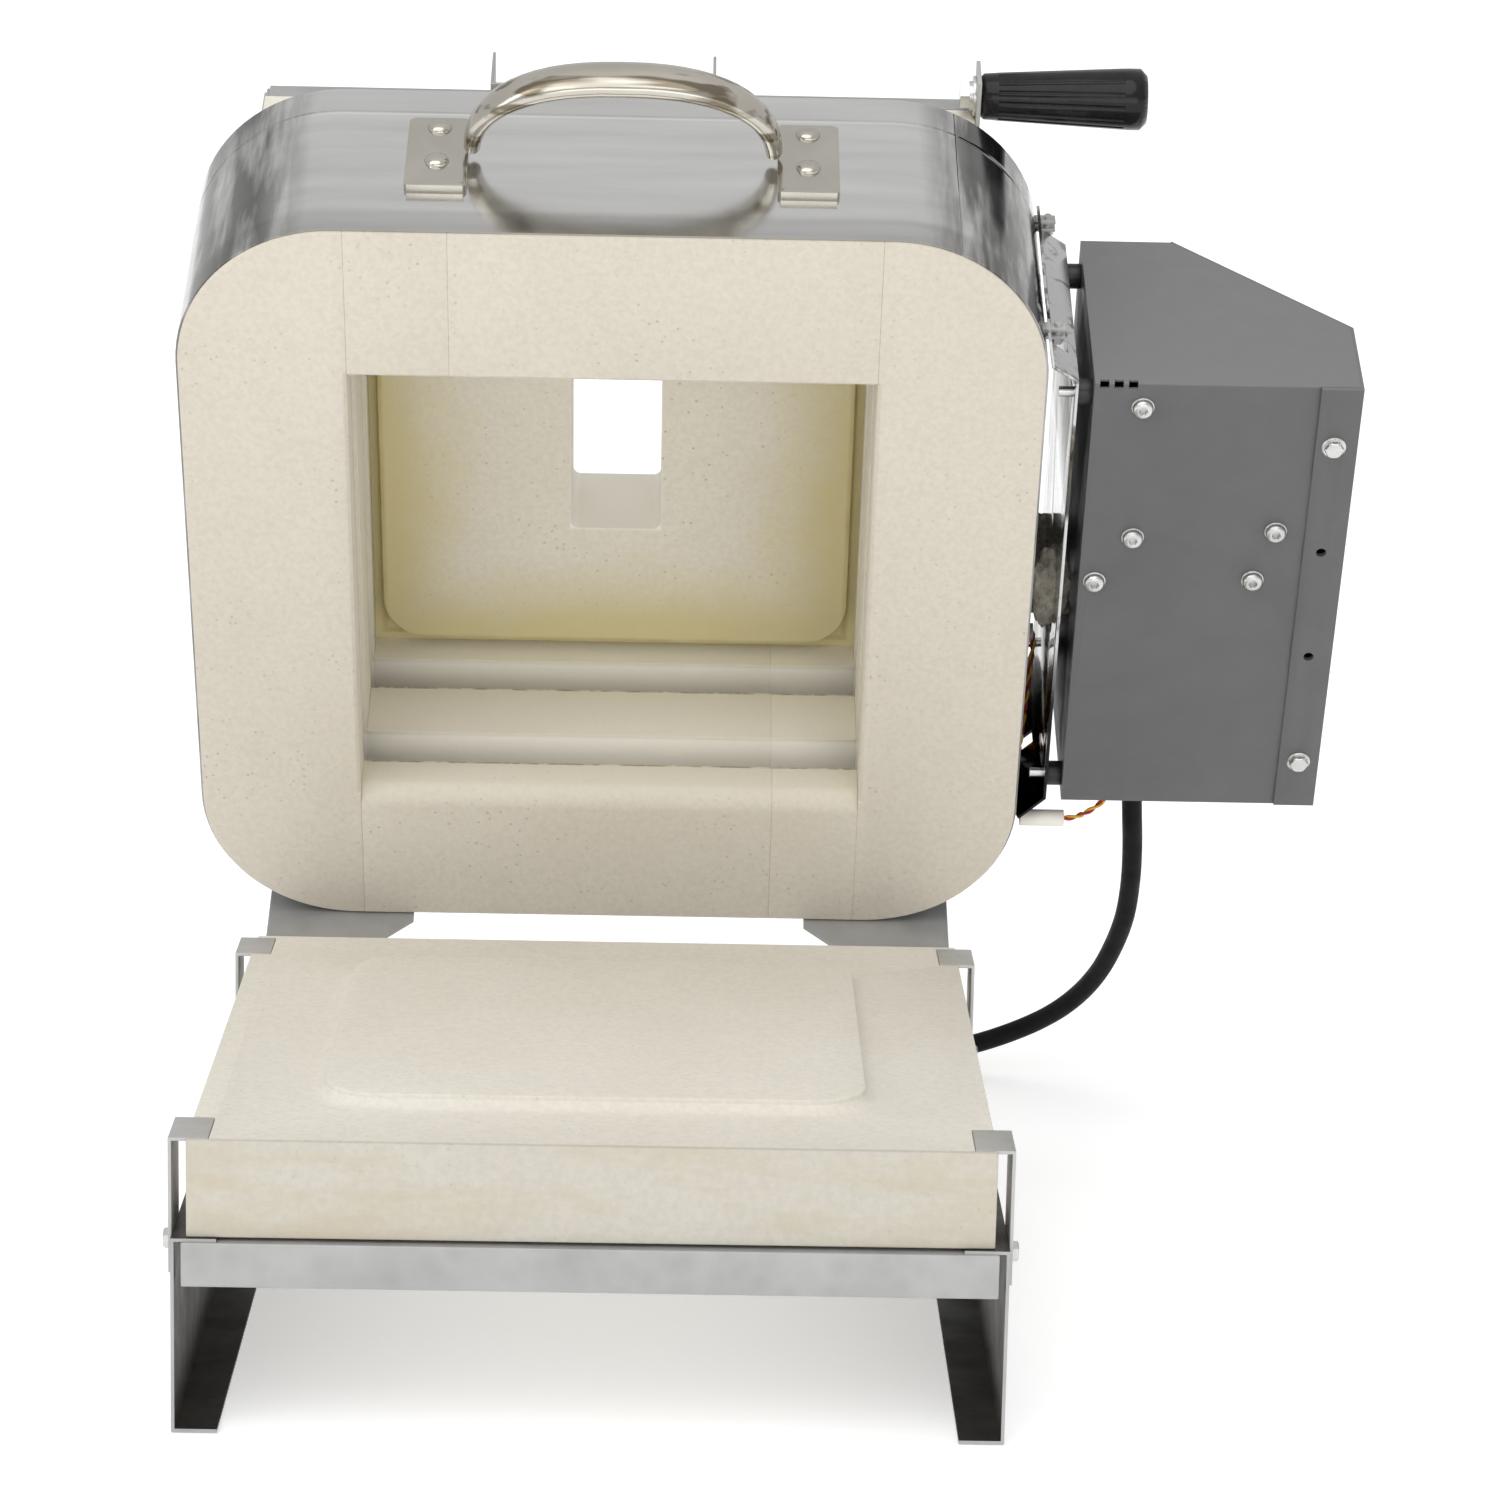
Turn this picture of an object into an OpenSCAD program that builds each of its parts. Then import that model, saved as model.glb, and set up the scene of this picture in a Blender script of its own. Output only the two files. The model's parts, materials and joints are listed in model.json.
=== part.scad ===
// Bench-top clamshell kiln. A square firebrick ring in a polished jacket, closed at its far end
// by a vented slab, is hinged along the rear of a low stand that carries the floor slab.
// The bell is drawn open, resting on its stop. +Z up, +X right, the front faces -Y.
// Origin: on the surface the stand rests on, under the middle of the whole open kiln, its cord
// left out. Lengths below are taken from the middle of the floor slab, which lies to the left
// of the origin and in front of it.

/* [Bell] */
// Inside width and depth of the firing chamber
chamber_w = 202; // [180:2:220]
// Thickness of the four brick walls
wall_t = 64; // [58:1:70]
// Depth of the brick ring, mouth to back
ring_d = 104; // [100:1:120]
// Outer corner radius of the brick ring
corner_r = 60; // [50:1:62]
// Thickness of the polished jacket
jacket_t = 0.8; // [0.5:0.1:1.2]
// Angle the bell turns through from open to closed
open_deg = 64; // [60:1:80]

/* [Slabs] */
// Width and depth of the floor slab and of the vented slab
slab_w = 282; // [276:1:288]
// Thickness of each slab, without its raised plug
slab_t = 35; // [32:1:40]
// Height of the raised plug on each slab
plug_h = 5; // [3:0.5:6]
// Width of the vent slot
slot_w = 37; // [24:1:44]
// Length of the vent slot
slot_l = 77; // [50:1:90]

/* [Stand] */
// Height of the stand's side frames
stand_h = 71; // [65:1:90]
// Sheet thickness of the stand, rails and clips
sheet_t = 1.2; // [1:0.1:1.6]
// Width of the side frames' inward flanges
foot_w = 16; // [12:1:24]
// Height of the front and rear rails
rail_h = 16; // [12:1:20]

/* [Control box] */
// Width of the box, left to right
box_w = 101.5; // [95:0.5:110]
// Depth of the box, level with the ring's mouth at its front
box_d = 100.5; // [95:0.5:102]
// Height of the box in the open position
box_h = 204; // [196:1:210]
// Gap between the jacket and the box
box_gap = 17.7; // [17:0.1:22]

/* [Handles] */
// Width of the carrying handle, rivet row to rivet row
handle_w = 141; // [120:1:150]
// Rise of the carrying handle's centre line over the jacket
handle_rise = 34; // [30:1:45]
// Length of the black lifting grip
grip_l = 66; // [50:1:80]

/* [Hidden] */

$fn = 48;

// Bell, in its own axes: X across, Y from the mouth to the back, Z from the hinge side up.
ring_w = chamber_w + 2 * wall_t;
half_ring = ring_w / 2;
half_chamber = chamber_w / 2;
half_slab = slab_w / 2;
low_wall = wall_t;
high_wall = ring_w - wall_t;
mid_z = ring_w / 2;
mouth_bevel = 1.5;
floor_edge_r = 8;
plug_gap = 4;
plug_r = 20;
half_plug = half_chamber - plug_gap;
face_gap = 0.3;

// Hinge axis. It lies outside the ring's hinge side and past its mouth, behind the floor slab.
pivot_out = 11;
pivot_past = 21.5;
floor_z = stand_h + slab_t;
pivot_y = half_ring + pivot_out;
pivot_z = floor_z + face_gap - pivot_past;
pin_r = 3;
pin_fit = 0.05;

// Hinge: cheeks fixed to the stand, and arms on the bell
lug_t = 2;
lug_x = half_slab - 4.5;
lug_screw_x = lug_x - 11;
lug_screw_z = stand_h - sheet_t - rail_h / 2;
arm_t = 1.2;
arm_in = half_slab - 60.3;
arm_out = half_slab - 0.3;
arm_back = 45;
arm_past = 17;
arm_screw_places = [[arm_in + 12, 10], [arm_in + 12, 36]];

// Element grooves, one near the mouth and one near the back
groove_w = 19;
groove_depth = 19;
groove_starts = [20.5, 70];
coil_r = 4.5;
coil_bend_r = 13;
coil_half = half_chamber + groove_depth - coil_r - 1;
lead_z = 140;
lead_r = 1.6;
lead_hole_r = 4;

// Gap between the floor slab and the front and rear rails
rail_gap = 2;

// Where the ring's bricks meet
top_seam = -62;
bottom_seam = 66;

// Floor slab and vented slab details
clip_w = 25;
clip_tab = 7.5;
clip_inset = 3;
clip_y = half_slab - clip_inset - clip_w / 2;
clip_bolt_z = stand_h - 5.5;
tie_heights = [mid_z - 65, mid_z + 65];
tie_screw_out = 2;
channel_left = -52;
channel_right = 38;
channel_flange = 25;
slot_r = 3.5;
vent_front = ring_d;
vent_back = ring_d + slab_t;
frame_lip = 8;

// Thermocouple
probe_z = 110;
probe_y = 55;
probe_r = 3.5;
sleeve_y = 8;
sleeve_z = 50;
sleeve_l = 18;
lead_drop_y = 44;
lead_entry_x = 205;
lead_entry_y = 10;

// Baffle and control box
box_x = half_ring + jacket_t + box_gap;
box_right = box_x + box_w;
box_low = mid_z + 3 - box_h / 2;
box_high = box_low + box_h;
slope_run = 66;
slope_drop = 59.5;
slope_deg = atan2(slope_drop, slope_run);
slope_l = norm([slope_run, slope_drop]);
baffle_x = box_x - 6.7;
baffle_d = 97;
spacer_r = 5;
screw_r = 2;
spacer_places = [[10, box_low + 6], [10, box_high - 11], [94, box_low + 9], [90, box_high - 10]];
panel_screw_places = [
    [box_x + 19, box_high - 11], [box_x + 19.5, box_high - 72], [box_x + 75, box_high - 68],
    [box_x + 6, box_high - 93.5], [box_x + 68, box_high - 91.5]
];
cover_screw_places = [[box_right - 8, box_high - 27], [box_right - 7, box_low + 23]];
strip_w = 15;
strip_hole_places = [[box_right - 8, box_high - 77], [box_right - 8, box_high - 128]];
bezel_z = box_low + 140;
switch_z = box_low + 44;
key_travel = 1.2;
rocker_deg = 8;

// Handles
handle_x = 2.5;
handle_y = 54;
plate_l = 50;
plate_w = 23.5;
plate_t = 2.5;
rivet_r = 4;
rivet_rows = [handle_y - 6.5, handle_y + 18];
grip_half_t = 5.2;
grip_half_w = 10;
jacket_top = ring_w + jacket_t;
grip_y = 136;
grip_z = 314;
grip_root_r = 9.1;
grip_end_r = 12.2;
bracket_t = 1.6;

// Power cord: its route from the gland to the coil, in the part's own axes
cord_d = 8.5;
gland_x = 217;
gland_y = 40;
gland_l = 15;
gland_tip_r = 6;
gland_neck_r = 6.5;
cord_route = [
    [217, 204.2, 167.3], [217, 209, 157.5], [218, 215, 145], [219.5, 224, 130], [220.5, 236, 112],
    [220, 250, 93], [217, 264, 76], [212, 278, 60], [204, 290, 46], [193, 301, 34],
    [178, 311, 23.5], [160, 320, 14.5], [140, 327.5, 8], [118, 333, 4.8], [95, 337.5, 4.3],
    [70, 341, 4.3], [45, 343.5, 4.3], [20, 345, 4.3], [-5, 345.4, 4.3], [-30, 345.2, 4.3]
];
cord_sides = 10;
coil_x = -34;
coil_y = 290.5;
coil_mid_r = 50.5;
coil_turns = 2;
coil_layers = 2;
coil_outer_r = coil_mid_r + coil_turns * cord_d / 2;
plug_x = coil_x - coil_outer_r + cord_d / 2;
plug_y = 277;
plug_z = 11;
relief_l = 27;

// Middle of the open kiln, seen from the middle of the floor slab
left_end = half_ring + jacket_t + sheet_t + tie_screw_out;
right_end = box_right + sheet_t;
front_end = half_slab + rail_gap + sheet_t;
back_end = pivot_y
    + (pivot_past + vent_back + frame_lip + channel_flange) * cos(90 - open_deg)
    - (pivot_out + mid_z - half_slab - 3) * sin(90 - open_deg);
centre_x = (right_end - left_end) / 2;
centre_y = (back_end - front_end) / 2;

// ---------------------------------------------------------------- helpers

// From the stand's own axes, centred on the floor slab, to the whole kiln's
module in_stand() {
    translate([-centre_x, -centre_y, 0]) children();
}

// From the bell's own axes to the whole kiln's, with the bell open
module in_bell() {
    in_stand()
        translate([0, pivot_y, pivot_z])
            rotate([90 - open_deg, 0, 0])
                translate([0, pivot_past, pivot_out])
                    children();
}

// Both sides of the stand or the bell, the left one mirrored
module both_sides() {
    children();
    mirror([1, 0, 0]) children();
}

// A rectangle with round corners, centred
module round_rect(w, h, r) {
    square([w - 2 * r, h], center = true);
    square([w, h - 2 * r], center = true);
    for (x = [-1, 1])
        for (y = [-1, 1])
            translate([x * (w / 2 - r), y * (h / 2 - r)])
                circle(r);
}

// Sheet metal folded along a line of points, seen from its end, its corners mitred
function normal_of(a, b) = [a[1] - b[1], b[0] - a[0]] / norm(b - a);
function edge_point(points, i, h) =
    let (
        last = len(points) - 1,
        before = normal_of(points[max(i - 1, 0)], points[max(i, 1)]),
        after = normal_of(points[min(i, last - 1)], points[min(i + 1, last)])
    )
    points[i] + (before + after) * h / (1 + before * after);
module folded(points, t) {
    last = len(points) - 1;
    polygon(concat(
        [for (i = [0 : last]) edge_point(points, i, t / 2)],
        [for (i = [last : -1 : 0]) edge_point(points, i, -t / 2)]
    ));
}

// Extrudes an outline drawn in X and Z along Y
module along_y(y, d) {
    translate([0, y + d, 0])
        rotate([90, 0, 0])
            linear_extrude(d)
                children();
}

// Extrudes an outline drawn in Y and Z along X
module along_x(x, d) {
    translate([x, 0, 0])
        rotate([90, 0, 90])
            linear_extrude(d)
                children();
}

// A rod along X, starting at a point
module rod_x(from, r, l, sides = 32) {
    translate(from)
        rotate([0, 90, 0])
            cylinder(r = r, h = l, $fn = sides);
}

// A rod along Y, starting at a point
module rod_y(from, r, l, sides = 32) {
    translate(from)
        rotate([-90, 0, 0])
            cylinder(r = r, h = l, $fn = sides);
}

// A tube through a list of points. Its two radii are numbers, or lists with one for each point.
function at(r, i) = is_list(r) ? r[i] : r;
function unit(v) = v / norm(v);
function tangent(pts, i) =
    unit(pts[min(i + 1, len(pts) - 1)] - pts[max(i - 1, 0)]);
function side_of(t, up) = unit(cross(t, up));
function ring_points(pts, i, rs, rt, sides, up) =
    let (t = tangent(pts, i), s = side_of(t, up), n = cross(s, t))
    [for (k = [0 : sides - 1])
        let (a = 360 * k / sides)
        pts[i] + s * at(rs, i) * cos(a) + n * at(rt, i) * sin(a)];
module swept(pts, rs, rt, sides, up) {
    count = len(pts);
    points = [for (i = [0 : count - 1]) each ring_points(pts, i, rs, rt, sides, up)];
    walls = [
        for (i = [0 : count - 2])
            for (k = [0 : sides - 1])
                let (a = i * sides + k, b = i * sides + (k + 1) % sides)
                each [[a, a + sides, b], [b, a + sides, b + sides]]
    ];
    start = [for (k = [0 : sides - 1]) k];
    end = [for (k = [sides - 1 : -1 : 0]) (count - 1) * sides + k];
    polyhedron(points, concat(walls, [start, end]), convexity = 6);
}

// ---------------------------------------------------------------- stand

module side_frame() {
    half = half_slab + 2;
    outer = half_slab + 5.2;
    color("#5b5c5a")
        difference() {
            union() {
                translate([outer - sheet_t, -half, 0]) cube([sheet_t, 2 * half, stand_h]);
                translate([outer - foot_w, -half, 0]) cube([foot_w, 2 * half, sheet_t]);
                translate([outer - foot_w, -half, stand_h - sheet_t])
                    cube([foot_w, 2 * half, sheet_t]);
            }
            for (y = [-1, 1])
                rod_x([outer - 5, y * clip_y, clip_bolt_z], screw_r, 10);
        }
}
module side_frame_right() in_stand() side_frame();
module side_frame_left() in_stand() mirror([1, 0, 0]) side_frame();

// Front rail: an open channel between the side frames, its face over their flanges' ends
module rail() {
    y = -half_slab - rail_gap;
    top = stand_h - sheet_t;
    profile = [
        [y + 14, top - rail_h + sheet_t / 2], [y - sheet_t / 2, top - rail_h + sheet_t / 2],
        [y - sheet_t / 2, top - sheet_t / 2], [y + 16, top - sheet_t / 2]
    ];
    rail_l = 2 * half_slab + 3;
    color("#a9aaa8")
        along_x(-rail_l / 2, rail_l) folded(profile, sheet_t);
}
module front_rail() in_stand() rail();
module rear_rail() {
    in_stand()
        difference() {
            mirror([0, 1, 0]) rail();
            for (x = [-1, 1])
                rod_y([x * lug_screw_x, half_slab - 6, lug_screw_z], screw_r, 20);
        }
}

// A slab of firebrick with its raised plug, lying on z = 0 and facing up
module slab_block() {
    linear_extrude(slab_t)
        square(slab_w, center = true);
    translate([0, 0, slab_t - 1])
        linear_extrude(plug_h + 1)
            round_rect(2 * half_plug, 2 * half_plug, plug_r);
}

// Shallow pockets that let the clips' tabs lie flush
module clip_pockets(y_places) {
    for (x = [-1, 1])
        for (y = y_places)
            translate([x * (half_slab - clip_tab / 2 + 1), y, slab_t])
                cube([clip_tab + 2.4, clip_w + 0.6, 2 * sheet_t + 0.1], center = true);
}

module base_slab() {
    color("#e8e2d2")
        in_stand()
            translate([0, 0, stand_h])
                difference() {
                    slab_block();
                    clip_pockets([-clip_y, clip_y]);
                }
}

// Four folded clips hold the slab down, one near each corner
module base_clips() {
    outer = half_slab + 5.2;
    profile = [
        [half_slab - clip_tab, floor_z - sheet_t / 2],
        [outer + sheet_t / 2, floor_z - sheet_t / 2],
        [outer + sheet_t / 2, stand_h - 14]
    ];
    color("#b9bab8")
        in_stand()
            difference() {
                both_sides()
                    for (y = [-1, 1])
                        along_y(y * clip_y - clip_w / 2, clip_w)
                            folded(profile, sheet_t);
                for (y = [-1, 1])
                    rod_x([-outer - 5, y * clip_y, clip_bolt_z], screw_r, 2 * outer + 10);
            }
}

module hex_screw(shank) {
    cylinder(r = screw_r, h = shank, $fn = 32);
    translate([0, 0, shank])
        cylinder(r = 4.6, h = 0.8, $fn = 32);
    translate([0, 0, shank + 0.8])
        cylinder(r = 3.8, h = 2.8, $fn = 6);
}

module base_bolts() {
    outer = half_slab + 5.2 + sheet_t;
    color("#c9cac9")
        in_stand()
            both_sides() {
                for (y = [-1, 1])
                    translate([outer - 8, y * clip_y, clip_bolt_z])
                        rotate([0, 90, 0])
                            hex_screw(8);
                translate([lug_screw_x, half_slab - 3, lug_screw_z])
                    rotate([-90, 0, 0])
                        hex_screw(3 + rail_gap + sheet_t + lug_t);
            }
}

// Fixed half of a hinge: a foot on the rear rail and a cheek that carries the pin
module hinge_lug() {
    foot_y = half_slab + rail_gap + sheet_t;
    low = stand_h - sheet_t - rail_h;
    color("#8f908e")
        difference() {
            union() {
                translate([lug_x - 20, foot_y, low]) cube([20, lug_t, rail_h - 1]);
                along_x(lug_x - lug_t, lug_t) {
                    translate([foot_y, low]) square([6, rail_h - 1]);
                    polygon([
                        [foot_y, low], [pivot_y + 3, pivot_z - 6.6], [pivot_y - 3.4, pivot_z + 6.1],
                        [foot_y, low + rail_h + 1]
                    ]);
                    translate([pivot_y, pivot_z]) circle(7);
                }
            }
            rod_x([lug_x - 5, pivot_y, pivot_z], pin_r, 10);
            rod_y([lug_screw_x, foot_y - 2, lug_screw_z], screw_r, 8);
        }
}
module hinge_lug_right() in_stand() hinge_lug();
module hinge_lug_left() in_stand() mirror([1, 0, 0]) hinge_lug();

module hinge_pins() {
    color("#c9cac9")
        in_stand()
            both_sides() {
                rod_x([lug_x - lug_t - 3, pivot_y, pivot_z], pin_r, arm_out + 0.6 - lug_x + lug_t + 3);
                rod_x([arm_out + 0.6, pivot_y, pivot_z], 5, 2.2);
                rod_x([lug_x - lug_t - 4, pivot_y, pivot_z], 5, 4);
            }
}

// ---------------------------------------------------------------- firebrick ring

// The chamfer round the chamber's mouth, mitred at its corners
module mouth_chamfer() {
    wide = half_chamber + mouth_bevel + 1;
    outline = [
        [-wide, -1], [wide, -1], [half_chamber, mouth_bevel], [-half_chamber, mouth_bevel]
    ];
    intersection() {
        linear_extrude(ring_w) polygon(outline);
        translate([0, 0, mid_z])
            rotate([0, 90, 0])
                translate([0, 0, -mid_z])
                    linear_extrude(ring_w) polygon(outline);
    }
}

// The round front edge of the chamber's lower wall
module floor_edge() {
    along_x(-half_chamber - 1, chamber_w + 2)
        difference() {
            translate([-1, low_wall - floor_edge_r]) square(floor_edge_r + 1);
            translate([floor_edge_r, low_wall - floor_edge_r]) circle(floor_edge_r);
        }
}

// The right-hand side of the ring, full height, with its round outer corners
module side_brick() {
    difference() {
        intersection() {
            translate([0, 0, mid_z])
                along_y(0, ring_d)
                    round_rect(ring_w, ring_w, corner_r);
            translate([half_chamber, -1, -1]) cube([wall_t + 1, ring_d + 2, ring_w + 2]);
        }
        for (start = groove_starts)
            translate([0, 0, mid_z])
                along_y(start, groove_w)
                    round_rect(chamber_w + 2 * groove_depth, chamber_w + 2 * groove_depth, coil_bend_r + 5);
        mouth_chamfer();
    }
}

module brick_left() {
    color("#e9e3d0")
        in_bell()
            mirror([1, 0, 0]) side_brick();
}
module brick_right() {
    color("#e9e3d0")
        in_bell()
            difference() {
                side_brick();
                for (start = groove_starts)
                    rod_x([half_chamber, start + groove_w / 2, lead_z], lead_hole_r, wall_t + 2);
                rod_x([half_chamber - 1, probe_y, probe_z], probe_r, wall_t + 2);
            }
}

// A brick of the top or bottom wall, between two places across it
module wall_brick(x0, x1, z0) {
    groove_box = chamber_w + 2 * groove_depth;
    color("#e9e3d0")
        in_bell()
            difference() {
                translate([x0, 0, z0]) cube([x1 - x0, ring_d, wall_t]);
                for (start = groove_starts)
                    translate([x0 - 1, start, mid_z - groove_box / 2])
                        cube([x1 - x0 + 2, groove_w, groove_box]);
                mouth_chamfer();
                floor_edge();
            }
}
module brick_top_short() wall_brick(-half_chamber, top_seam, high_wall);
module brick_top_long() wall_brick(top_seam, half_chamber, high_wall);
module brick_bottom_long() wall_brick(-half_chamber, bottom_seam, 0);
module brick_bottom_short() wall_brick(bottom_seam, half_chamber, 0);

// A heating element: a coil laid round the groove, as the solid it fills, and its lead
module element(y) {
    straight = coil_half - coil_bend_r;
    color("#8a7f74")
        in_bell() {
            translate([0, y, mid_z])
                for (turn = [0 : 90 : 270])
                    rotate([0, turn, 0]) {
                        rod_x([-straight, 0, coil_half], coil_r, 2 * straight, 24);
                        translate([straight, 0, straight])
                            rotate([90, 0, 0])
                                rotate_extrude(angle = 90, $fn = 48)
                                    translate([coil_bend_r, 0]) circle(coil_r, $fn = 24);
                    }
            rod_x([coil_half, y, lead_z], lead_r, box_x + 8 - coil_half);
        }
}
module element_front() element(groove_starts[0] + groove_w / 2);
module element_rear() element(groove_starts[1] + groove_w / 2);

// ---------------------------------------------------------------- jacket and vented slab

module jacket() {
    outer = ring_w + 2 * jacket_t;
    color("#c3c5c7")
        in_bell()
            difference() {
                translate([0, 0, mid_z])
                    along_y(1.5, ring_d - 2)
                        difference() {
                            round_rect(outer, outer, corner_r + jacket_t);
                            round_rect(ring_w, ring_w, corner_r);
                        }
                for (start = groove_starts)
                    rod_x([half_ring - 1, start + groove_w / 2, lead_z], lead_hole_r, 4);
                rod_x([half_ring - 1, probe_y, probe_z], probe_r, 4);
            }
}

// Folded ears and their screws draw the jacket tight along its seam
module jacket_clamps() {
    z = high_wall + 10;
    x = half_ring + jacket_t;
    color("#b9bab8")
        in_bell()
            for (y = [20, 97]) {
                translate([x - 0.9, y, z]) cube([7.9, 5, sheet_t]);
                translate([x - 0.9, y, z + 3.4]) cube([7.9, 5, sheet_t]);
                translate([x + 4, y + 2.5, z - 2.4]) cylinder(r = 1.4, h = 8.6, $fn = 24);
                translate([x + 4, y + 2.5, z - 2.6]) cylinder(r = 2.6, h = 2.6, $fn = 6);
            }
}

module vent_slab() {
    color("#e6dcc0")
        in_bell()
            translate([0, vent_back, mid_z])
                rotate([90, 0, 0])
                    difference() {
                        slab_block();
                        clip_pockets([-clip_y, clip_y]);
                        translate([0, 0, -1])
                            linear_extrude(slab_t + plug_h + 2)
                                round_rect(slot_w, slot_l, slot_r);
                    }
}

// Frame behind the vented slab: two side rails and two end rails
module vent_side_rails() {
    x = half_slab - sheet_t / 2;
    profile = [
        [x - 16, vent_back + sheet_t / 2], [x, vent_back + sheet_t / 2], [x, vent_back + frame_lip]
    ];
    color("#b4b5b3")
        in_bell()
            both_sides()
                translate([0, 0, mid_z - half_slab + sheet_t])
                    linear_extrude(slab_w - 2 * sheet_t)
                        folded(profile, sheet_t);
}
module vent_end_rails() {
    z = half_slab - sheet_t / 2;
    y0 = vent_back + sheet_t / 2;
    y1 = vent_back + frame_lip - sheet_t / 2;
    profile = [[y0, z - 14], [y0, z], [y1, z], [y1, z - 13]];
    rail_l = slab_w - 2 * sheet_t - 0.2;
    color("#b4b5b3")
        in_bell()
            translate([0, 0, mid_z])
                difference() {
                    for (flip = [0, 1])
                        mirror([0, 0, flip])
                            along_x(-rail_l / 2, rail_l) folded(profile, sheet_t);
                    // The flanges against the slab stop short of the side rails' own
                    for (x = [-1, 1])
                        translate([x * (half_slab - 8), vent_back, 0])
                            cube([18, 3 * sheet_t, slab_w - 2 * sheet_t - 0.1], center = true);
                }
}

// The folded clip that ties the slab to its frame, seen from its end
module vent_clip_profile() {
    x = half_slab + sheet_t / 2;
    folded([
        [half_slab - clip_tab, vent_front + sheet_t / 2], [x, vent_front + sheet_t / 2],
        [x, vent_back + frame_lip]
    ], sheet_t);
}
module vent_clips() {
    color("#b9bab8")
        in_bell()
            for (place = [[-1, -1], [-1, 1], [1, -1]])
                mirror([place[0] < 0 ? 1 : 0, 0, 0])
                    translate([0, 0, mid_z + place[1] * clip_y - clip_w / 2])
                        linear_extrude(clip_w)
                            vent_clip_profile();
}

// Folded straps from the jacket's sides to the vented slab's frame
module tie_brackets() {
    x0 = half_slab + sheet_t / 2;
    x1 = half_ring + jacket_t + sheet_t / 2;
    y = ring_d + 0.3 + sheet_t / 2;
    profile = [[x1, ring_d - 20], [x1, y], [x0, y], [x0, vent_back + frame_lip - 1]];
    color("#b9bab8")
        in_bell()
            both_sides()
                for (z = tie_heights)
                    translate([0, 0, z - 10])
                        linear_extrude(20)
                            folded(profile, sheet_t);
}

// Channel across the back of the frame, open at the slot: it guides the vent block
module vent_channel() {
    y = vent_back + frame_lip;
    low = mid_z - half_slab - 3;
    color("#b4b5b3")
        in_bell()
            difference() {
                union() {
                    translate([channel_left, y, low])
                        cube([channel_right - channel_left, sheet_t, slab_w + 6]);
                    for (x = [channel_left, channel_right - sheet_t])
                        translate([x, y, low]) cube([sheet_t, channel_flange, slab_w + 6]);
                }
                translate([0, y - 1, mid_z])
                    along_y(0, 4) square([slot_w + 16, slot_l + 40], center = true);
            }
}

// ---------------------------------------------------------------- hinge arms

// Moving half of a hinge: a plate on the jacket, its inner corner cut away, and a cheek at its
// outer edge that turns on the pin
module hinge_arm() {
    under = -jacket_t - arm_t;
    color("#8f908e")
        difference() {
            union() {
                translate([0, 0, under])
                    linear_extrude(arm_t)
                        polygon([
                            [arm_in, arm_back], [arm_in, -4], [arm_in + 13, -arm_past],
                            [arm_out, -arm_past], [arm_out, arm_back]
                        ]);
                along_x(arm_out - arm_t, arm_t) {
                    translate([-arm_past - 4, -pivot_out - 1])
                        square([arm_back + arm_past - 6, pivot_out + 1 - jacket_t]);
                    translate([-pivot_past, -pivot_out]) circle(8);
                }
            }
            rod_x([arm_out - 5, -pivot_past, -pivot_out], pin_r + pin_fit, 10);
            for (place = arm_screw_places)
                translate([place[0], place[1], under - 1]) cylinder(r = screw_r, h = 4, $fn = 32);
        }
}
module hinge_arm_right() in_bell() hinge_arm();
module hinge_arm_left() in_bell() mirror([1, 0, 0]) hinge_arm();

// Screws that hold the arms, ties, clips and channel on the bell
module bell_screws() {
    color("#c9cac9")
        in_bell() {
            both_sides() {
                for (place = arm_screw_places)
                    translate([place[0], place[1], -jacket_t - arm_t - 1.6]) {
                        cylinder(r = 3.4, h = 1.6, $fn = 32);
                        cylinder(r = screw_r, h = 1.6 + arm_t, $fn = 32);
                    }
                for (z = tie_heights) {
                    rod_x([half_ring + jacket_t + sheet_t, ring_d - 12, z], 3.4, tie_screw_out);
                    rod_x([half_slab + sheet_t, vent_back + 4, z], 3, 1.8);
                }
            }
            for (x = [channel_left + 12, channel_right - 12])
                for (z = [mid_z - half_slab + 8, mid_z + half_slab - 8])
                    rod_y([x, vent_back + frame_lip + sheet_t, z], 3, 1.8);
        }
}

// ---------------------------------------------------------------- handles

// Half an ellipse, a little square-shouldered, that thins towards its feet
arch_half = handle_w / 2 - 13;
arch_steps = 28;
arch_turns = [for (i = [0 : arch_steps]) 4 + 172 * i / arch_steps];
function arch(t) = [
    handle_x - arch_half * sign(cos(t)) * pow(abs(cos(t)), 0.85),
    handle_y,
    jacket_top + plate_t * 0.6 + handle_rise * pow(sin(t), 0.8)
];
function fullness(t) = 0.55 + 0.45 * pow(sin(t), 0.7);
module carry_handle() {
    points = [for (t = arch_turns) arch(t)];
    thick = [for (t = arch_turns) grip_half_t * fullness(t)];
    wide = [for (t = arch_turns) grip_half_w * fullness(t)];
    color("#cfc9bd")
        in_bell()
            difference() {
                swept(points, thick, wide, 16, [0, 1, 0]);
                translate([handle_x - handle_w, 0, jacket_top - 20]) cube([2 * handle_w, 100, 20]);
            }
}
module handle_plate(side) {
    x = handle_x + side * handle_w / 2;
    color("#cfc9bd")
        in_bell()
            difference() {
                union() {
                    translate([x, handle_y, jacket_top])
                        linear_extrude(plate_t) round_rect(plate_w, plate_l, 3);
                    translate([x - plate_w / 2 + 1, handle_y - plate_l / 2 - 1, jacket_top])
                        cube([plate_w - 2, 3, plate_t + 1]);
                }
                for (y = rivet_rows)
                    translate([x, y, jacket_top - 1]) cylinder(r = 2.5, h = 6, $fn = 32);
            }
}
module handle_plate_left() handle_plate(-1);
module handle_plate_right() handle_plate(1);

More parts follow.
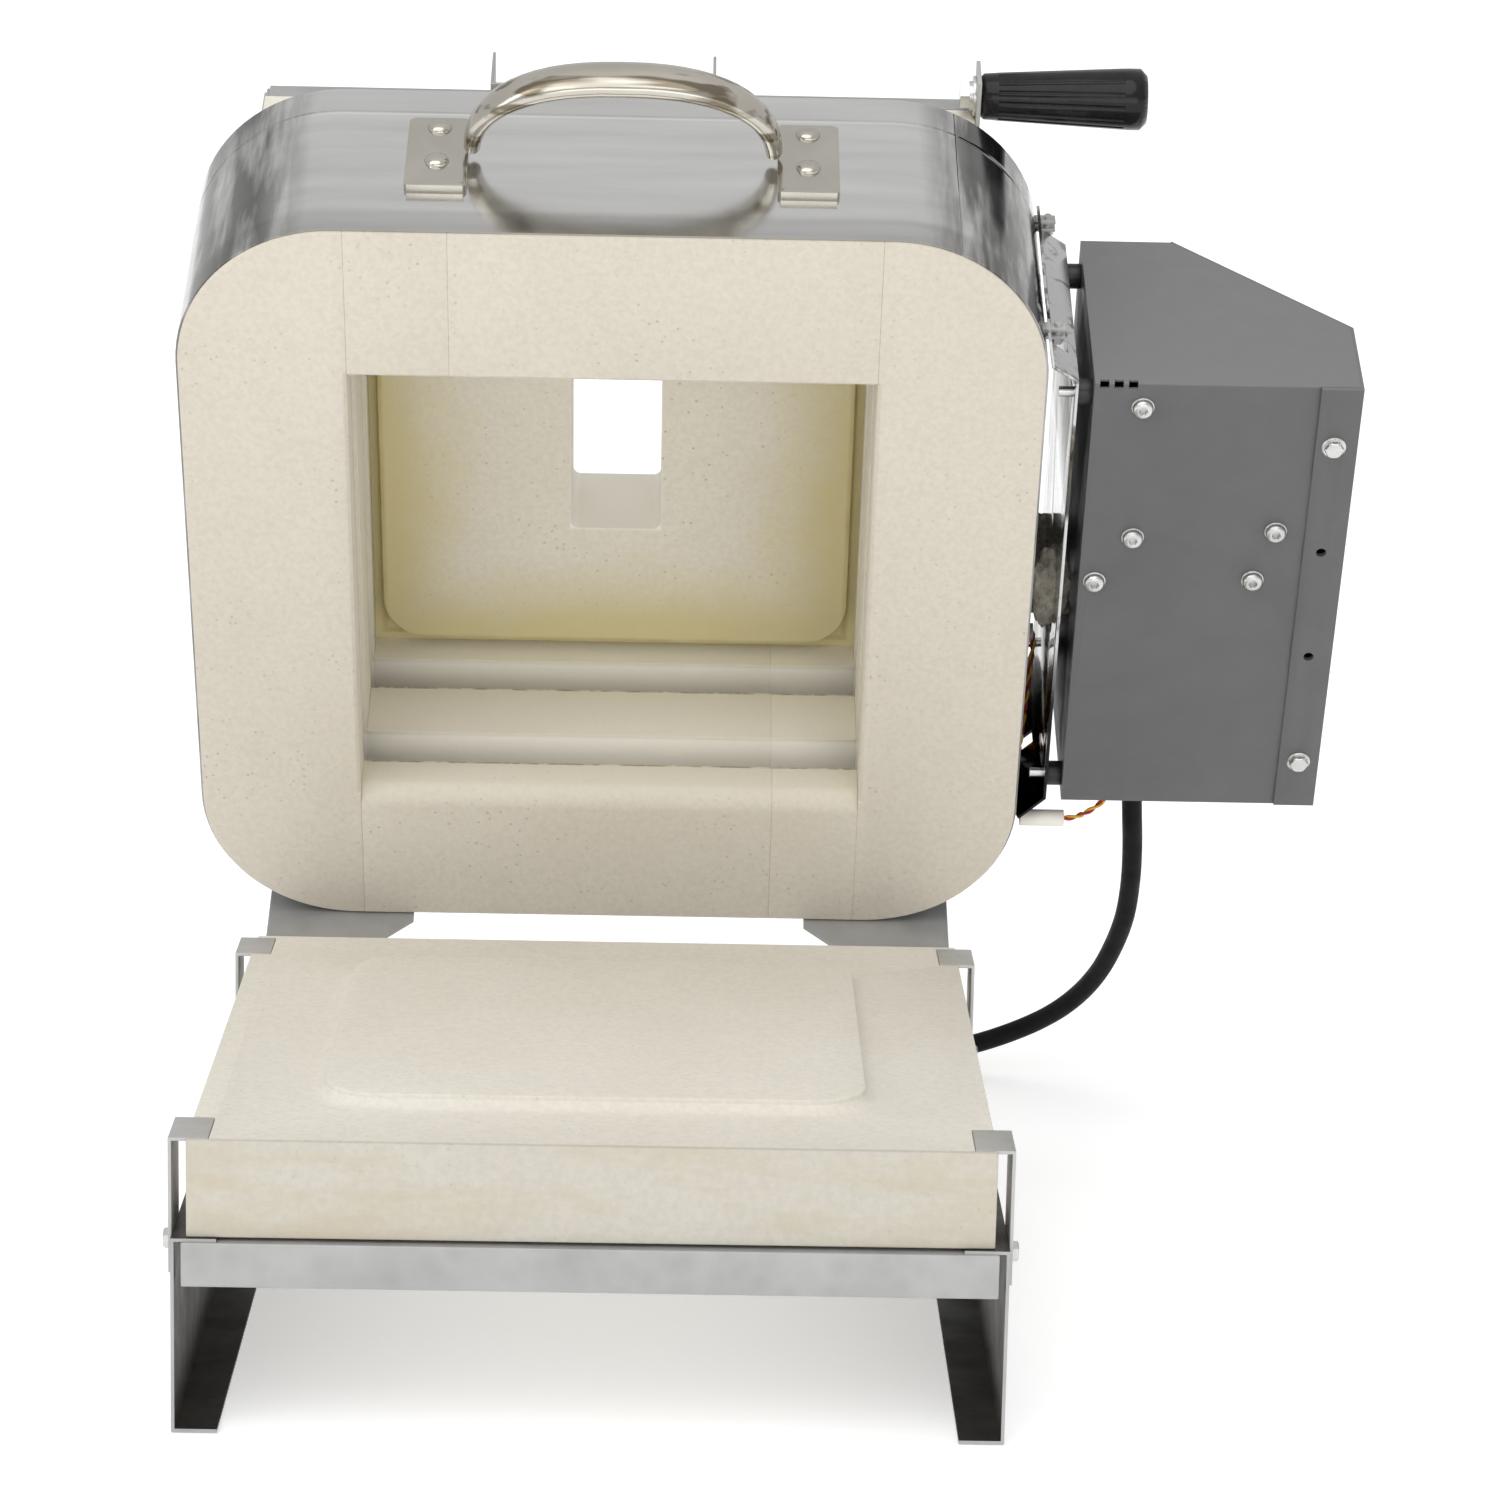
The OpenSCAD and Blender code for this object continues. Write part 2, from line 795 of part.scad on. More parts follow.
module handle_rivets() {
    color("#cfc9bd")
        in_bell()
            for (side = [-1, 1])
                for (y = rivet_rows)
                    translate([handle_x + side * handle_w / 2, y, jacket_top]) {
                        cylinder(r = 2.5, h = plate_t, $fn = 32);
                        translate([0, 0, plate_t]) cylinder(r1 = rivet_r, r2 = 2.6, h = 1.8, $fn = 32);
                    }
}

// The fourth slab clip, drawn out past the frame into the ear that carries the grip
module grip_bracket() {
    low = mid_z + clip_y - clip_w / 2;
    color("#b9bab8")
        in_bell()
            difference() {
                union() {
                    translate([0, 0, low]) linear_extrude(clip_w) vent_clip_profile();
                    translate([half_slab, grip_y - 9, low])
                        cube([bracket_t, 18, grip_z + 11 - low]);
                }
                rod_x([half_slab - 3, grip_y, grip_z], 3, 8);
            }
}

module lift_grip() {
    flutes = 14;
    x = half_slab + bracket_t;
    lean = atan((grip_end_r - grip_root_r) / (grip_l - 14));
    color("#151515")
        in_bell()
            translate([x, grip_y, grip_z])
                rotate([0, 90, 0])
                    difference() {
                        rotate_extrude($fn = 64)
                            polygon([
                                [3, 0], [grip_root_r - 1.5, 0], [grip_root_r, 1.5], [grip_root_r + 0.4, 7],
                                [grip_end_r, grip_l - 7], [grip_end_r, grip_l - 2.5],
                                [grip_end_r - 2.5, grip_l], [0, grip_l], [0, 30], [3, 30]
                            ]);
                        for (k = [0 : flutes - 1])
                            rotate([0, 0, 360 * k / flutes])
                                translate([grip_root_r + 0.9, 0, 7])
                                    rotate([0, lean, 0])
                                        cylinder(r = 1.3, h = grip_l - 16, $fn = 16);
                    }
}

module grip_bolt() {
    color("#c9cac9")
        in_bell()
            union() {
                rod_x([half_slab - 6, grip_y, grip_z], 3, 6 + bracket_t + 28);
                rod_x([half_slab - 1.4, grip_y, grip_z], 8, 1.4);
                rod_x([half_slab - 2.8, grip_y, grip_z], 6, 1.4);
                rod_x([half_slab - 6.4, grip_y, grip_z], 5.4, 3.6, 6);
            }
}

// ---------------------------------------------------------------- baffle and leads

module baffle() {
    x = baffle_x;
    profile = [
        [half_ring + 1.6, box_low - 10], [x, box_low + 0.5], [x, box_high],
        [half_ring + 2.2, box_high + 6.5], [half_ring + 0.3, box_high + 18]
    ];
    color("#c3c5c7")
        in_bell()
            difference() {
                along_y(0, baffle_d) folded(profile, sheet_t);
                for (place = spacer_places)
                    rod_x([x - 3, place[0], place[1]], screw_r, 6);
                for (start = groove_starts)
                    rod_x([x - 3, start + groove_w / 2, lead_z], 9.5, 6);
                // The jacket's front clamp ears stand in this notch
                translate([half_ring - 3, 16, box_high + 2]) cube([12, 13, 20]);
                // The leads come down through this notch
                translate([half_ring - 3, lead_drop_y - 4, box_low - 14]) cube([12, 8, 16]);
            }
}

module baffle_spacers() {
    x = baffle_x + sheet_t / 2;
    color("#2a2a2a")
        in_bell()
            for (place = spacer_places)
                difference() {
                    rod_x([x, place[0], place[1]], spacer_r, box_x - x);
                    rod_x([x - 1, place[0], place[1]], screw_r, box_x - x + 2);
                }
}

module baffle_screws() {
    color("#c9cac9")
        in_bell()
            for (place = spacer_places) {
                rod_x([baffle_x - 6, place[0], place[1]], screw_r, box_x + sheet_t - baffle_x + 6);
                rod_x([box_x + sheet_t, place[0], place[1]], 3.8, 2.4);
            }
}

// Refractory cement packed round the element leads where they leave the jacket
module lead_bushings() {
    x = half_ring + jacket_t;
    color("#a39a86")
        in_bell()
            for (start = groove_starts)
                difference() {
                    rod_x([x, start + groove_w / 2, lead_z], 9, box_x - x - 0.1);
                    rod_x([x - 1, start + groove_w / 2, lead_z], lead_r, box_x - x + 2);
                }
}

module thermocouple() {
    color("#f2efe8")
        in_bell()
            rod_x([half_chamber + 1, probe_y, probe_z], probe_r, wall_t + 6);
}

module thermocouple_sleeve() {
    x = half_ring + 3;
    color("#f4f1ea")
        in_bell()
            difference() {
                rod_x([x, sleeve_y, sleeve_z], 3.4, sleeve_l);
                rod_x([x - 1, sleeve_y, sleeve_z], 1.5, sleeve_l + 2);
            }
}

// The thermocouple's two wires, one twisted pair: down the gap, through the sleeve, into the box
module thermocouple_leads() {
    sleeve_x = half_ring + 3;
    end_x = sleeve_x + sleeve_l;
    enter = [lead_entry_x, lead_entry_y];
    route = [
        [half_ring + 6.2, probe_y, probe_z], [half_ring + 7.6, probe_y - 1, probe_z - 3],
        [half_ring + 7.6, probe_y - 3, probe_z - 8], [half_ring + 6, 48, 88],
        [half_ring + 5, lead_drop_y + 1, 73], [half_ring + 4.2, lead_drop_y, 61],
        [half_ring + 3.4, lead_drop_y - 5, 53.6], [half_ring + 2.6, 32, 50.8],
        [half_ring + 2.3, 22, 50.2], [half_ring + 2.2, 13, sleeve_z],
        [half_ring + 2.2, 9, sleeve_z], [sleeve_x + 1.6, sleeve_y, sleeve_z],
        [sleeve_x + 5, sleeve_y, sleeve_z], [end_x - 4, sleeve_y, sleeve_z],
        [end_x, sleeve_y, sleeve_z], [end_x + 5, sleeve_y, sleeve_z + 0.8],
        [enter[0] - 8, enter[1] - 1, sleeve_z + 3.6], [enter[0] - 3, enter[1], sleeve_z + 8],
        [enter[0] - 0.5, enter[1], box_low - 3.4], [enter[0], enter[1], box_low + 3]
    ];
    color("#c9a227")
        in_bell()
            swept(route, 1.3, 1.3, 8, [0.2, 1, 0]);
}

// ---------------------------------------------------------------- control box

function box_outline(g) = [
    [box_x + g, g], [box_right - g, g], [box_right - g, box_d - slope_drop - g * 0.37],
    [box_right - slope_run - g * 0.41, box_d - g], [box_x + g, box_d - g]
];

// Moves into the sloped face: X along the slope, Y out of it, Z up
module on_slope(z) {
    translate([box_right - slope_run / 2, box_d - slope_drop / 2, z])
        rotate([0, 0, -slope_deg])
            children();
}

module box_shell() {
    color("#6f7072")
        in_bell()
            difference() {
                translate([0, 0, box_low]) linear_extrude(box_h) polygon(box_outline(0));
                translate([0, 0, box_low + sheet_t])
                    linear_extrude(box_h - 2 * sheet_t) polygon(box_outline(sheet_t));
                // The cover closes the sloped side and the right side
                on_slope(box_low + box_h / 2)
                    cube([slope_l - 6, 10, box_h - 12], center = true);
                translate([box_right - 3, 6, box_low + 6]) cube([6, box_d - slope_drop - 12, box_h - 12]);
                for (place = spacer_places)
                    rod_x([box_x - 3, place[0], place[1]], screw_r, 6);
                for (start = groove_starts)
                    rod_x([box_x - 3, start + groove_w / 2, lead_z], lead_hole_r, 6);
                for (place = panel_screw_places)
                    rod_y([place[0], -2, place[1]], screw_r, 6);
                for (place = concat(cover_screw_places, strip_hole_places))
                    rod_y([place[0], -2, place[1]], screw_r, 6);
                translate([gland_x, gland_y, box_low - 2]) cylinder(r = gland_neck_r, h = 6);
                translate([lead_entry_x, lead_entry_y, box_low - 2]) cylinder(r = 2.6, h = 6);
                // Lanced openings along the top edge
                for (x = [2, 7.5, 13])
                    translate([box_x + x, -1, box_high - 2.6]) cube([3.5, 3.4, 3]);
            }
}
// Cover: a strip lapped over the front, the right side and the sloped control face
module box_cover() {
    bottom = box_low + 0.2;
    lap = sheet_t / 2;
    side_end = box_d - slope_drop;
    profile = [
        [box_right - strip_w, -lap], [box_right + lap, -lap], [box_right + lap, side_end + 0.3],
        [box_right - slope_run + 0.45, box_d + lap]
    ];
    color("#77787a")
        in_bell()
            difference() {
                translate([0, 0, bottom]) linear_extrude(box_h - 0.4) folded(profile, sheet_t);
                for (place = concat(cover_screw_places, strip_hole_places))
                    rod_y([place[0], -3, place[1]], screw_r, 6);
                on_slope(bezel_z) cube([50, 8, 62], center = true);
                on_slope(switch_z) cube([14.4, 8, 22.6], center = true);
            }
}

module panel_screws() {
    color("#d4d5d4")
        in_bell()
            for (place = panel_screw_places)
                translate([place[0], 4, place[1]])
                    rotate([90, 0, 0]) {
                        cylinder(r = screw_r, h = 4, $fn = 32);
                        translate([0, 0, 4]) cylinder(r = 4, h = 1, $fn = 32);
                        translate([0, 0, 5]) cylinder(r1 = 3.6, r2 = 2.4, h = 1.6, $fn = 32);
                    }
}

module cover_screws() {
    color("#d4d5d4")
        in_bell()
            for (place = cover_screw_places)
                translate([place[0], 6 - sheet_t, place[1]])
                    rotate([90, 0, 0])
                        hex_screw(6);
}

// Strain relief where the cord leaves the box
module cord_gland() {
    tip = box_low - gland_l;
    color("#1c1c1c")
        in_bell()
            translate([gland_x, gland_y, 0])
                rotate_extrude($fn = 48)
                    polygon([
                        [0, tip], [gland_tip_r, tip], [7, box_low - 3.5], [9, box_low - 3.5],
                        [9, box_low], [gland_neck_r, box_low], [gland_neck_r, box_low + sheet_t],
                        [8.5, box_low + sheet_t], [8.5, box_low + 5], [0, box_low + 5]
                    ]);
}

module power_relay() {
    color("#2b4a6b")
        in_bell()
            translate([box_x + 12, 5, box_low + 132]) {
                cube([60, 26, 54]);
                for (x = [8, 46])
                    translate([x, 26, 6]) cube([6, 8, 12]);
            }
}

module terminal_block() {
    color("#e9e4d8")
        in_bell()
            difference() {
                translate([box_x + sheet_t, 22, lead_z - 11]) cube([16, 66, 22]);
                for (start = groove_starts)
                    rod_x([box_x - 1, start + groove_w / 2, lead_z], lead_r, 9);
                for (y = [40, 55, 70])
                    translate([box_x + sheet_t + 7, y, lead_z + 9]) cube([10, 8, 4]);
            }
}

// Controller: its board, its bezel in the sloped face, and three keys
module controller() {
    color("#1f5a34")
        in_bell()
            on_slope(bezel_z) {
                translate([-23, -16, -29]) cube([46, 1.6, 58]);
                translate([-19, -14.4, 2]) cube([38, 9, 20]);
                for (k = [-1 : 1])
                    translate([k * 14 - 3, -14.4, -20]) cube([6, 8.6, 6]);
            }
}
module controller_bezel() {
    color("#26282a")
        in_bell()
            on_slope(bezel_z)
                difference() {
                    union() {
                        translate([-31, sheet_t + 0.3, -36]) cube([62, 2.2, 72]);
                        translate([-24.6, -4, -30.6]) cube([49.2, 4 + sheet_t + 0.3, 61.2]);
                    }
                    translate([-22.6, -5, -28.6]) cube([45.2, 5.2, 57.2]);
                    translate([-19, -1, 2]) cube([38, 8, 20]);
                    for (k = [-1 : 1])
                        translate([k * 14 - 5, -1, -22]) cube([10, 8, 10]);
                }
}
module key(k) {
    color("#8d9094")
        in_bell()
            on_slope(bezel_z) {
                translate([k * 14 - 4.6, -3.4, -21.6]) cube([9.2, 8.6, 9.2]);
                translate([k * 14 - 6, -4.4, -23]) cube([12, 2, 12]);
            }
}
module key_up() key(-1);
module key_down() key(0);
module key_start() key(1);

// Rocker switch in the sloped face, lying on its off side
module power_switch() {
    color("#17181a")
        in_bell()
            on_slope(switch_z)
                rotate([rocker_deg, 0, 0])
                    intersection() {
                        rod_x([-6.8, -4, 0], 11, 13.6, 64);
                        translate([-6.8, -9, -9.6]) cube([13.6, 14.6, 19.2]);
                    }
}

// ---------------------------------------------------------------- power cord

module power_cord() {
    color("#111111")
        in_stand()
            swept(cord_route, cord_d / 2, cord_d / 2, cord_sides, [1, 0.2, 0.35]);
}

// The coil's outer shape, wound flat behind the stand
module cord_coil() {
    color("#111111")
        in_stand()
            translate([coil_x, coil_y, 0])
                rotate_extrude($fn = 64)
                    translate([coil_mid_r - coil_turns * cord_d / 2, 0])
                        square([coil_turns * cord_d, coil_layers * cord_d]);
}

// Plug with its tapered strain relief, lying on the surface with its blades away from the coil
module power_plug() {
    body_l = 26;
    body_back = plug_y - relief_l;
    color("#111111")
        in_stand()
            translate([plug_x, 0, 0]) {
                translate([0, plug_y, plug_z])
                    rotate([90, 0, 0])
                        cylinder(r1 = 5.4, r2 = 8, h = relief_l + 2, $fn = 32);
                translate([-15, body_back - body_l, plug_z - 10.5]) cube([30, body_l, 21]);
                for (x = [-6.4, 6.4])
                    translate([x - 0.75, body_back - body_l - 17, plug_z - 3])
                        cube([1.5, 18, 6.3]);
                rod_y([0, body_back - body_l - 17, plug_z - 6.5], 2.4, 18, 24);
            }
}

// ---------------------------------------------------------------- parts

side_frame_left();
side_frame_right();
front_rail();
rear_rail();
base_slab();
base_clips();
base_bolts();
hinge_lug_left();
hinge_lug_right();
hinge_pins();
power_cord();
cord_coil();
power_plug();
brick_left();
brick_right();
brick_top_short();
brick_top_long();
brick_bottom_long();
brick_bottom_short();
element_front();
element_rear();
jacket();
jacket_clamps();
vent_slab();
vent_side_rails();
vent_end_rails();
vent_clips();
tie_brackets();
vent_channel();
hinge_arm_left();
hinge_arm_right();
bell_screws();
carry_handle();
handle_plate_left();
handle_plate_right();
handle_rivets();
grip_bracket();
lift_grip();
grip_bolt();
baffle();
baffle_spacers();
baffle_screws();
lead_bushings();
thermocouple();
thermocouple_sleeve();
thermocouple_leads();
box_shell();
box_cover();
panel_screws();
cover_screws();
cord_gland();
power_relay();
terminal_block();
controller();
controller_bezel();
power_switch();
key_up();
key_down();
key_start();
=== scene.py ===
"""Bench-top clamshell kiln: camera, cord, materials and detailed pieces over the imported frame.

Places are given in the stand's own axes, in millimetres from the middle of the floor slab, or in
the open bell's: across, up its face from the hinge side, and back from its mouth. The frame says
where those axes lie.
"""
import json
import math

import bmesh
import bpy
from mathutils import Matrix, Vector, noise


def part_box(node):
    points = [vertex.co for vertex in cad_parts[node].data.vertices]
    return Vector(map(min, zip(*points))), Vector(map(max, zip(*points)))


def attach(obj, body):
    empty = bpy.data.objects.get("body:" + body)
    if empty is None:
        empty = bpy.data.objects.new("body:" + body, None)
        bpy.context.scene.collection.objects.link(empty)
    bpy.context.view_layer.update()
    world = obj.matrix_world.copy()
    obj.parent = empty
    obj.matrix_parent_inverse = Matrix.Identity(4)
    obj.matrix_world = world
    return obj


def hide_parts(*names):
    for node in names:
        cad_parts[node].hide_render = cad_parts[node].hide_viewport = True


MM = 0.001

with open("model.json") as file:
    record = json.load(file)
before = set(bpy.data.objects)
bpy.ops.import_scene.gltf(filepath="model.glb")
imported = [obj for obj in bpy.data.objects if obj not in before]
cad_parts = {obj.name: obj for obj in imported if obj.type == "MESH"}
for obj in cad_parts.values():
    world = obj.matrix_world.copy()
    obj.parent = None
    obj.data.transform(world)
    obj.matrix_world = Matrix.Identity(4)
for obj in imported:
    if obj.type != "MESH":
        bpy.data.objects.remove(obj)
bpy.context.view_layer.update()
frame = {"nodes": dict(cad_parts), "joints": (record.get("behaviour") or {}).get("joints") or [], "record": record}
nodes = frame["nodes"]

# ------------------------------------------------------------------ axes

slab_low, slab_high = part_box("base_slab")
STAND = Vector(((slab_low.x + slab_high.x) / 2, (slab_low.y + slab_high.y) / 2, 0))
hinge = next(j for j in frame["joints"] if j["name"] == "bell_hinge")
PIVOT = Vector((STAND.x, hinge["pos_m"][1], hinge["pos_m"][2]))
LEAN = math.radians(90 - hinge["range_deg"][1])
PIVOT_PAST = 21.5
PIVOT_OUT = 11

UP = Vector((0, -math.sin(LEAN), math.cos(LEAN)))
BACK = Vector((0, math.cos(LEAN), math.sin(LEAN)))
ACROSS = Vector((1, 0, 0))

RING = 330
HALF_RING = 165
RING_DEPTH = 104
JACKET = 0.8
HALF_SLAB = 141
MID = 165
SLAB_TOP = 106


def on_stand(x, y, z):
    """A place in the stand's axes, in millimetres, as a point in the frame."""
    return STAND + Vector((x, y, z)) * MM


def on_bell(across, up, back):
    """A place in the open bell's axes, in millimetres, as a point in the frame."""
    return PIVOT + (ACROSS * across + UP * (up + PIVOT_OUT) + BACK * (back + PIVOT_PAST)) * MM


BELL_TURN = Matrix((ACROSS, BACK, UP)).transposed().to_4x4()


def bell_matrix(across, up, back):
    """Puts a piece drawn at the origin (X across, Y back, Z up the face) on the bell."""
    return Matrix.Translation(on_bell(across, up, back)) @ BELL_TURN


# ------------------------------------------------------------------ camera

SENSOR_MM = 36
LENS_MM = 114.5424
SHIFT_X = -0.0041
EYE = (26.1, -1729.0, 594.4)
YAW_PITCH_ROLL = (-1.0008, 12.307, 1.2256)


def make_camera():
    yaw, pitch, roll = (math.radians(v) for v in YAW_PITCH_ROLL)
    right = Vector((math.cos(yaw), math.sin(yaw), 0))
    level = Vector((-math.sin(yaw), math.cos(yaw), 0))
    ahead = level * math.cos(pitch) - Vector((0, 0, math.sin(pitch)))
    above = level * math.sin(pitch) + Vector((0, 0, math.cos(pitch)))
    x_axis = right * math.cos(roll) + above * math.sin(roll)
    y_axis = above * math.cos(roll) - right * math.sin(roll)
    data = bpy.data.cameras.new("camera")
    data.sensor_width = SENSOR_MM
    data.lens = LENS_MM
    data.shift_x = SHIFT_X
    data.clip_end = 100
    camera = bpy.data.objects.new("camera", data)
    turn = Matrix((x_axis, y_axis, -ahead)).transposed().to_4x4()
    camera.matrix_world = Matrix.Translation(on_stand(*EYE)) @ turn
    bpy.context.scene.collection.objects.link(camera)
    bpy.context.scene.camera = camera


# ------------------------------------------------------------------ node materials


def set_stops(ramp, stops):
    """Gives a colour ramp its (place, colour or grey) stops."""
    elements = ramp.color_ramp.elements
    while len(elements) < len(stops):
        elements.new(0.5)
    for element, (at, shade) in zip(elements, stops):
        element.position = at
        grey = isinstance(shade, (int, float))
        element.color = (shade, shade, shade, 1) if grey else (*shade, 1)


class Shader:
    """A Principled material and short calls that add nodes to it."""

    def __init__(self, name, colour, rough=0.5, metal=0.0, **sockets):
        self.material = bpy.data.materials.new(name)
        self.material.use_nodes = True
        self.tree = self.material.node_tree
        self.main = self.tree.nodes["Principled BSDF"]
        self.main.inputs["Metallic"].default_value = metal
        self.main.inputs["Roughness"].default_value = rough
        self.main.inputs["Base Color"].default_value = (*colour, 1)
        for key, value in sockets.items():
            self.main.inputs[key.replace("_", " ")].default_value = value
        self.material.diffuse_color = (*colour, 1)
        self.place = self.tree.nodes.new("ShaderNodeTexCoord").outputs["Object"]

    def node(self, kind, **values):
        made = self.tree.nodes.new(kind)
        for key, value in values.items():
            setattr(made, key, value)
        return made

    def link(self, source, target):
        self.tree.links.new(source, target)

    def noise(self, scale, detail=4, rough=0.55, stretch=None, distort=0.0):
        made = self.node("ShaderNodeTexNoise")
        made.inputs["Scale"].default_value = scale
        made.inputs["Detail"].default_value = detail
        made.inputs["Roughness"].default_value = rough
        made.inputs["Distortion"].default_value = distort
        self.link(self.stretched(stretch), made.inputs["Vector"])
        return made.outputs["Fac"]

    def stretched(self, stretch):
        if not stretch:
            return self.place
        made = self.node("ShaderNodeMapping")
        made.inputs["Scale"].default_value = stretch
        self.link(self.place, made.inputs["Vector"])
        return made.outputs["Vector"]

    def cells(self, scale):
        made = self.node("ShaderNodeTexVoronoi")
        made.inputs["Scale"].default_value = scale
        self.link(self.place, made.inputs["Vector"])
        return made.outputs["Distance"]

    def ramp(self, value, *stops):
        """Maps a value through (place, colour or grey) stops."""
        made = self.node("ShaderNodeValToRGB")
        set_stops(made, stops)
        self.link(value, made.inputs["Fac"])
        return made.outputs["Color"]

    def mix(self, factor, a, b, blend="MIX"):
        made = self.node("ShaderNodeMix", data_type="RGBA", blend_type=blend)
        # Inputs 0, 6 and 7 are the factor and the two colours
        for index, value in ((0, factor), (6, a), (7, b)):
            target = made.inputs[index]
            if isinstance(value, bpy.types.NodeSocket):
                self.link(value, target)
            elif isinstance(value, tuple):
                target.default_value = (*value, 1)
            else:
                target.default_value = value
        return made.outputs[2]

    def maths(self, operation, a, b=None, clamp=False):
        made = self.node("ShaderNodeMath", operation=operation, use_clamp=clamp)
        for index, value in enumerate(v for v in (a, b) if v is not None):
            if isinstance(value, bpy.types.NodeSocket):
                self.link(value, made.inputs[index])
            else:
                made.inputs[index].default_value = value
        return made.outputs[0]

    def times(self, a, b):
        return self.maths("MULTIPLY", a, b)

    def share(self, value, whole):
        """A value as a share of a whole, held between 0 and 1."""
        return self.maths("DIVIDE", value, whole, clamp=True)

    def tint(self, a, b):
        """One colour multiplied by another."""
        return self.mix(1.0, a, b, "MULTIPLY")

    def along(self, direction, start):
        """How far a point is along a direction from a starting point, in millimetres."""
        made = self.node("ShaderNodeVectorMath", operation="DOT_PRODUCT")
        self.link(self.place, made.inputs[0])
        made.inputs[1].default_value = tuple(direction / MM)
        return self.maths("SUBTRACT", made.outputs["Value"], start.dot(direction) / MM)

    def colour(self, value):
        self.link(value, self.main.inputs["Base Color"])

    def roughness(self, value):
        self.link(value, self.main.inputs["Roughness"])

    def bump(self, *layers):
        """Stacks bump layers, each (height, strength, distance in millimetres)."""
        last = None
        for height, strength, distance in layers:
            made = self.node("ShaderNodeBump")
            made.inputs["Strength"].default_value = strength
            made.inputs["Distance"].default_value = distance * MM
            self.link(height, made.inputs["Height"])
            if last:
                self.link(last, made.inputs["Normal"])
            last = made.outputs["Normal"]
        self.link(last, self.main.inputs["Normal"])


def brick_base(name, light, mid, pit_strength=0.6):
    """Soft insulating firebrick: cream, mottled, full of fine dark pits."""
    s = Shader(name, mid, rough=0.95)
    s.main.inputs["Specular IOR Level"].default_value = 0.15
    cloud = s.ramp(s.noise(9, 5, 0.6), (0.3, mid), (0.7, light))
    fine = s.ramp(s.noise(420, 3, 0.6), (0.35, 0.93), (0.62, 1.0))
    base = s.tint(cloud, fine)
    spread = s.ramp(s.noise(22, 3), (0.42, 0.0), (0.62, 1.0))
    pits = s.ramp(s.cells(230), (0.07, 1.0), (0.18, 0.0))
    specks = s.mix(spread, (0.0, 0.0, 0.0), pits)
    brown = tuple(c * 0.55 for c in mid)
    return s, s.mix(s.times(specks, pit_strength), base, brown)


def brick_bump(s, grain=0.5):
    pits = s.ramp(s.cells(260), (0.0, 0.0), (0.16, 1.0))
    s.bump((s.noise(60, 4, 0.6), 0.25, 0.8), (s.noise(900, 3, 0.7), grain, 0.25), (pits, 0.35, 0.3))


# Distances from the chamber's middle are painted as shares of this
SPAN = 200


def make_ring_brick():
    s, base = brick_base("ring_brick", (0.675, 0.63, 0.545), (0.635, 0.585, 0.495))
    depth = s.share(s.along(BACK, on_bell(0, 0, 0)), RING_DEPTH)
    deep = s.ramp(depth, (0.0, 0.0), (0.06, 0.55), (1.0, 0.9))
    warm = s.mix(s.noise(16, 4), (0.80, 0.755, 0.62), (0.86, 0.82, 0.71))
    tinted = s.mix(deep, base, warm)
    # A few soft stains and darker patches from handling
    stain = s.ramp(s.noise(13, 5, 0.7, distort=0.6), (0.66, 0.0), (0.76, 0.45))
    stained = s.mix(stain, tinted, (0.62, 0.55, 0.42))
    # The grooves are painted paler, as painted light against the shade inside them, with a broken painted shadow
    # line along the front edge of each groove
    centre = on_bell(0, MID, 0)
    across = s.maths("ABSOLUTE", s.along(ACROSS, centre))
    up = s.maths("ABSOLUTE", s.along(UP, centre))
    off = s.share(s.maths("MAXIMUM", across, up), SPAN)
    cut = s.ramp(off, (0.505, 0.0), (0.515, 1.0), (0.60, 1.0), (0.62, 0.0))
    within = s.ramp(depth, (0.18, 0.0), (0.20, 1.0))
    # Painted light: the groove faces are lightened to offset their shade
    grooves_painted_lit = s.mix(s.times(cut, within), stained, (0.97, 0.935, 0.84))
    # Painted shadow: a thin dark line where each groove's floor goes behind its front lip
    lip_shadow_band = s.ramp(
        depth, (0.186, 0.0), (0.191, 1.0), (0.1965, 1.0), (0.2, 0.0),
        (0.662, 0.0), (0.666, 1.0), (0.672, 1.0), (0.676, 0.0),
    )
    broken = s.ramp(s.noise(150, 4, 0.7), (0.4, 0.15), (0.56, 0.9))
    near = s.ramp(off, (0.49, 0.0), (0.50, 1.0), (0.515, 1.0), (0.52, 0.0))
    dark = s.times(s.times(lip_shadow_band, near), broken)
    s.colour(s.mix(dark, grooves_painted_lit, (0.26, 0.20, 0.11)))
    brick_bump(s)
    return s.material


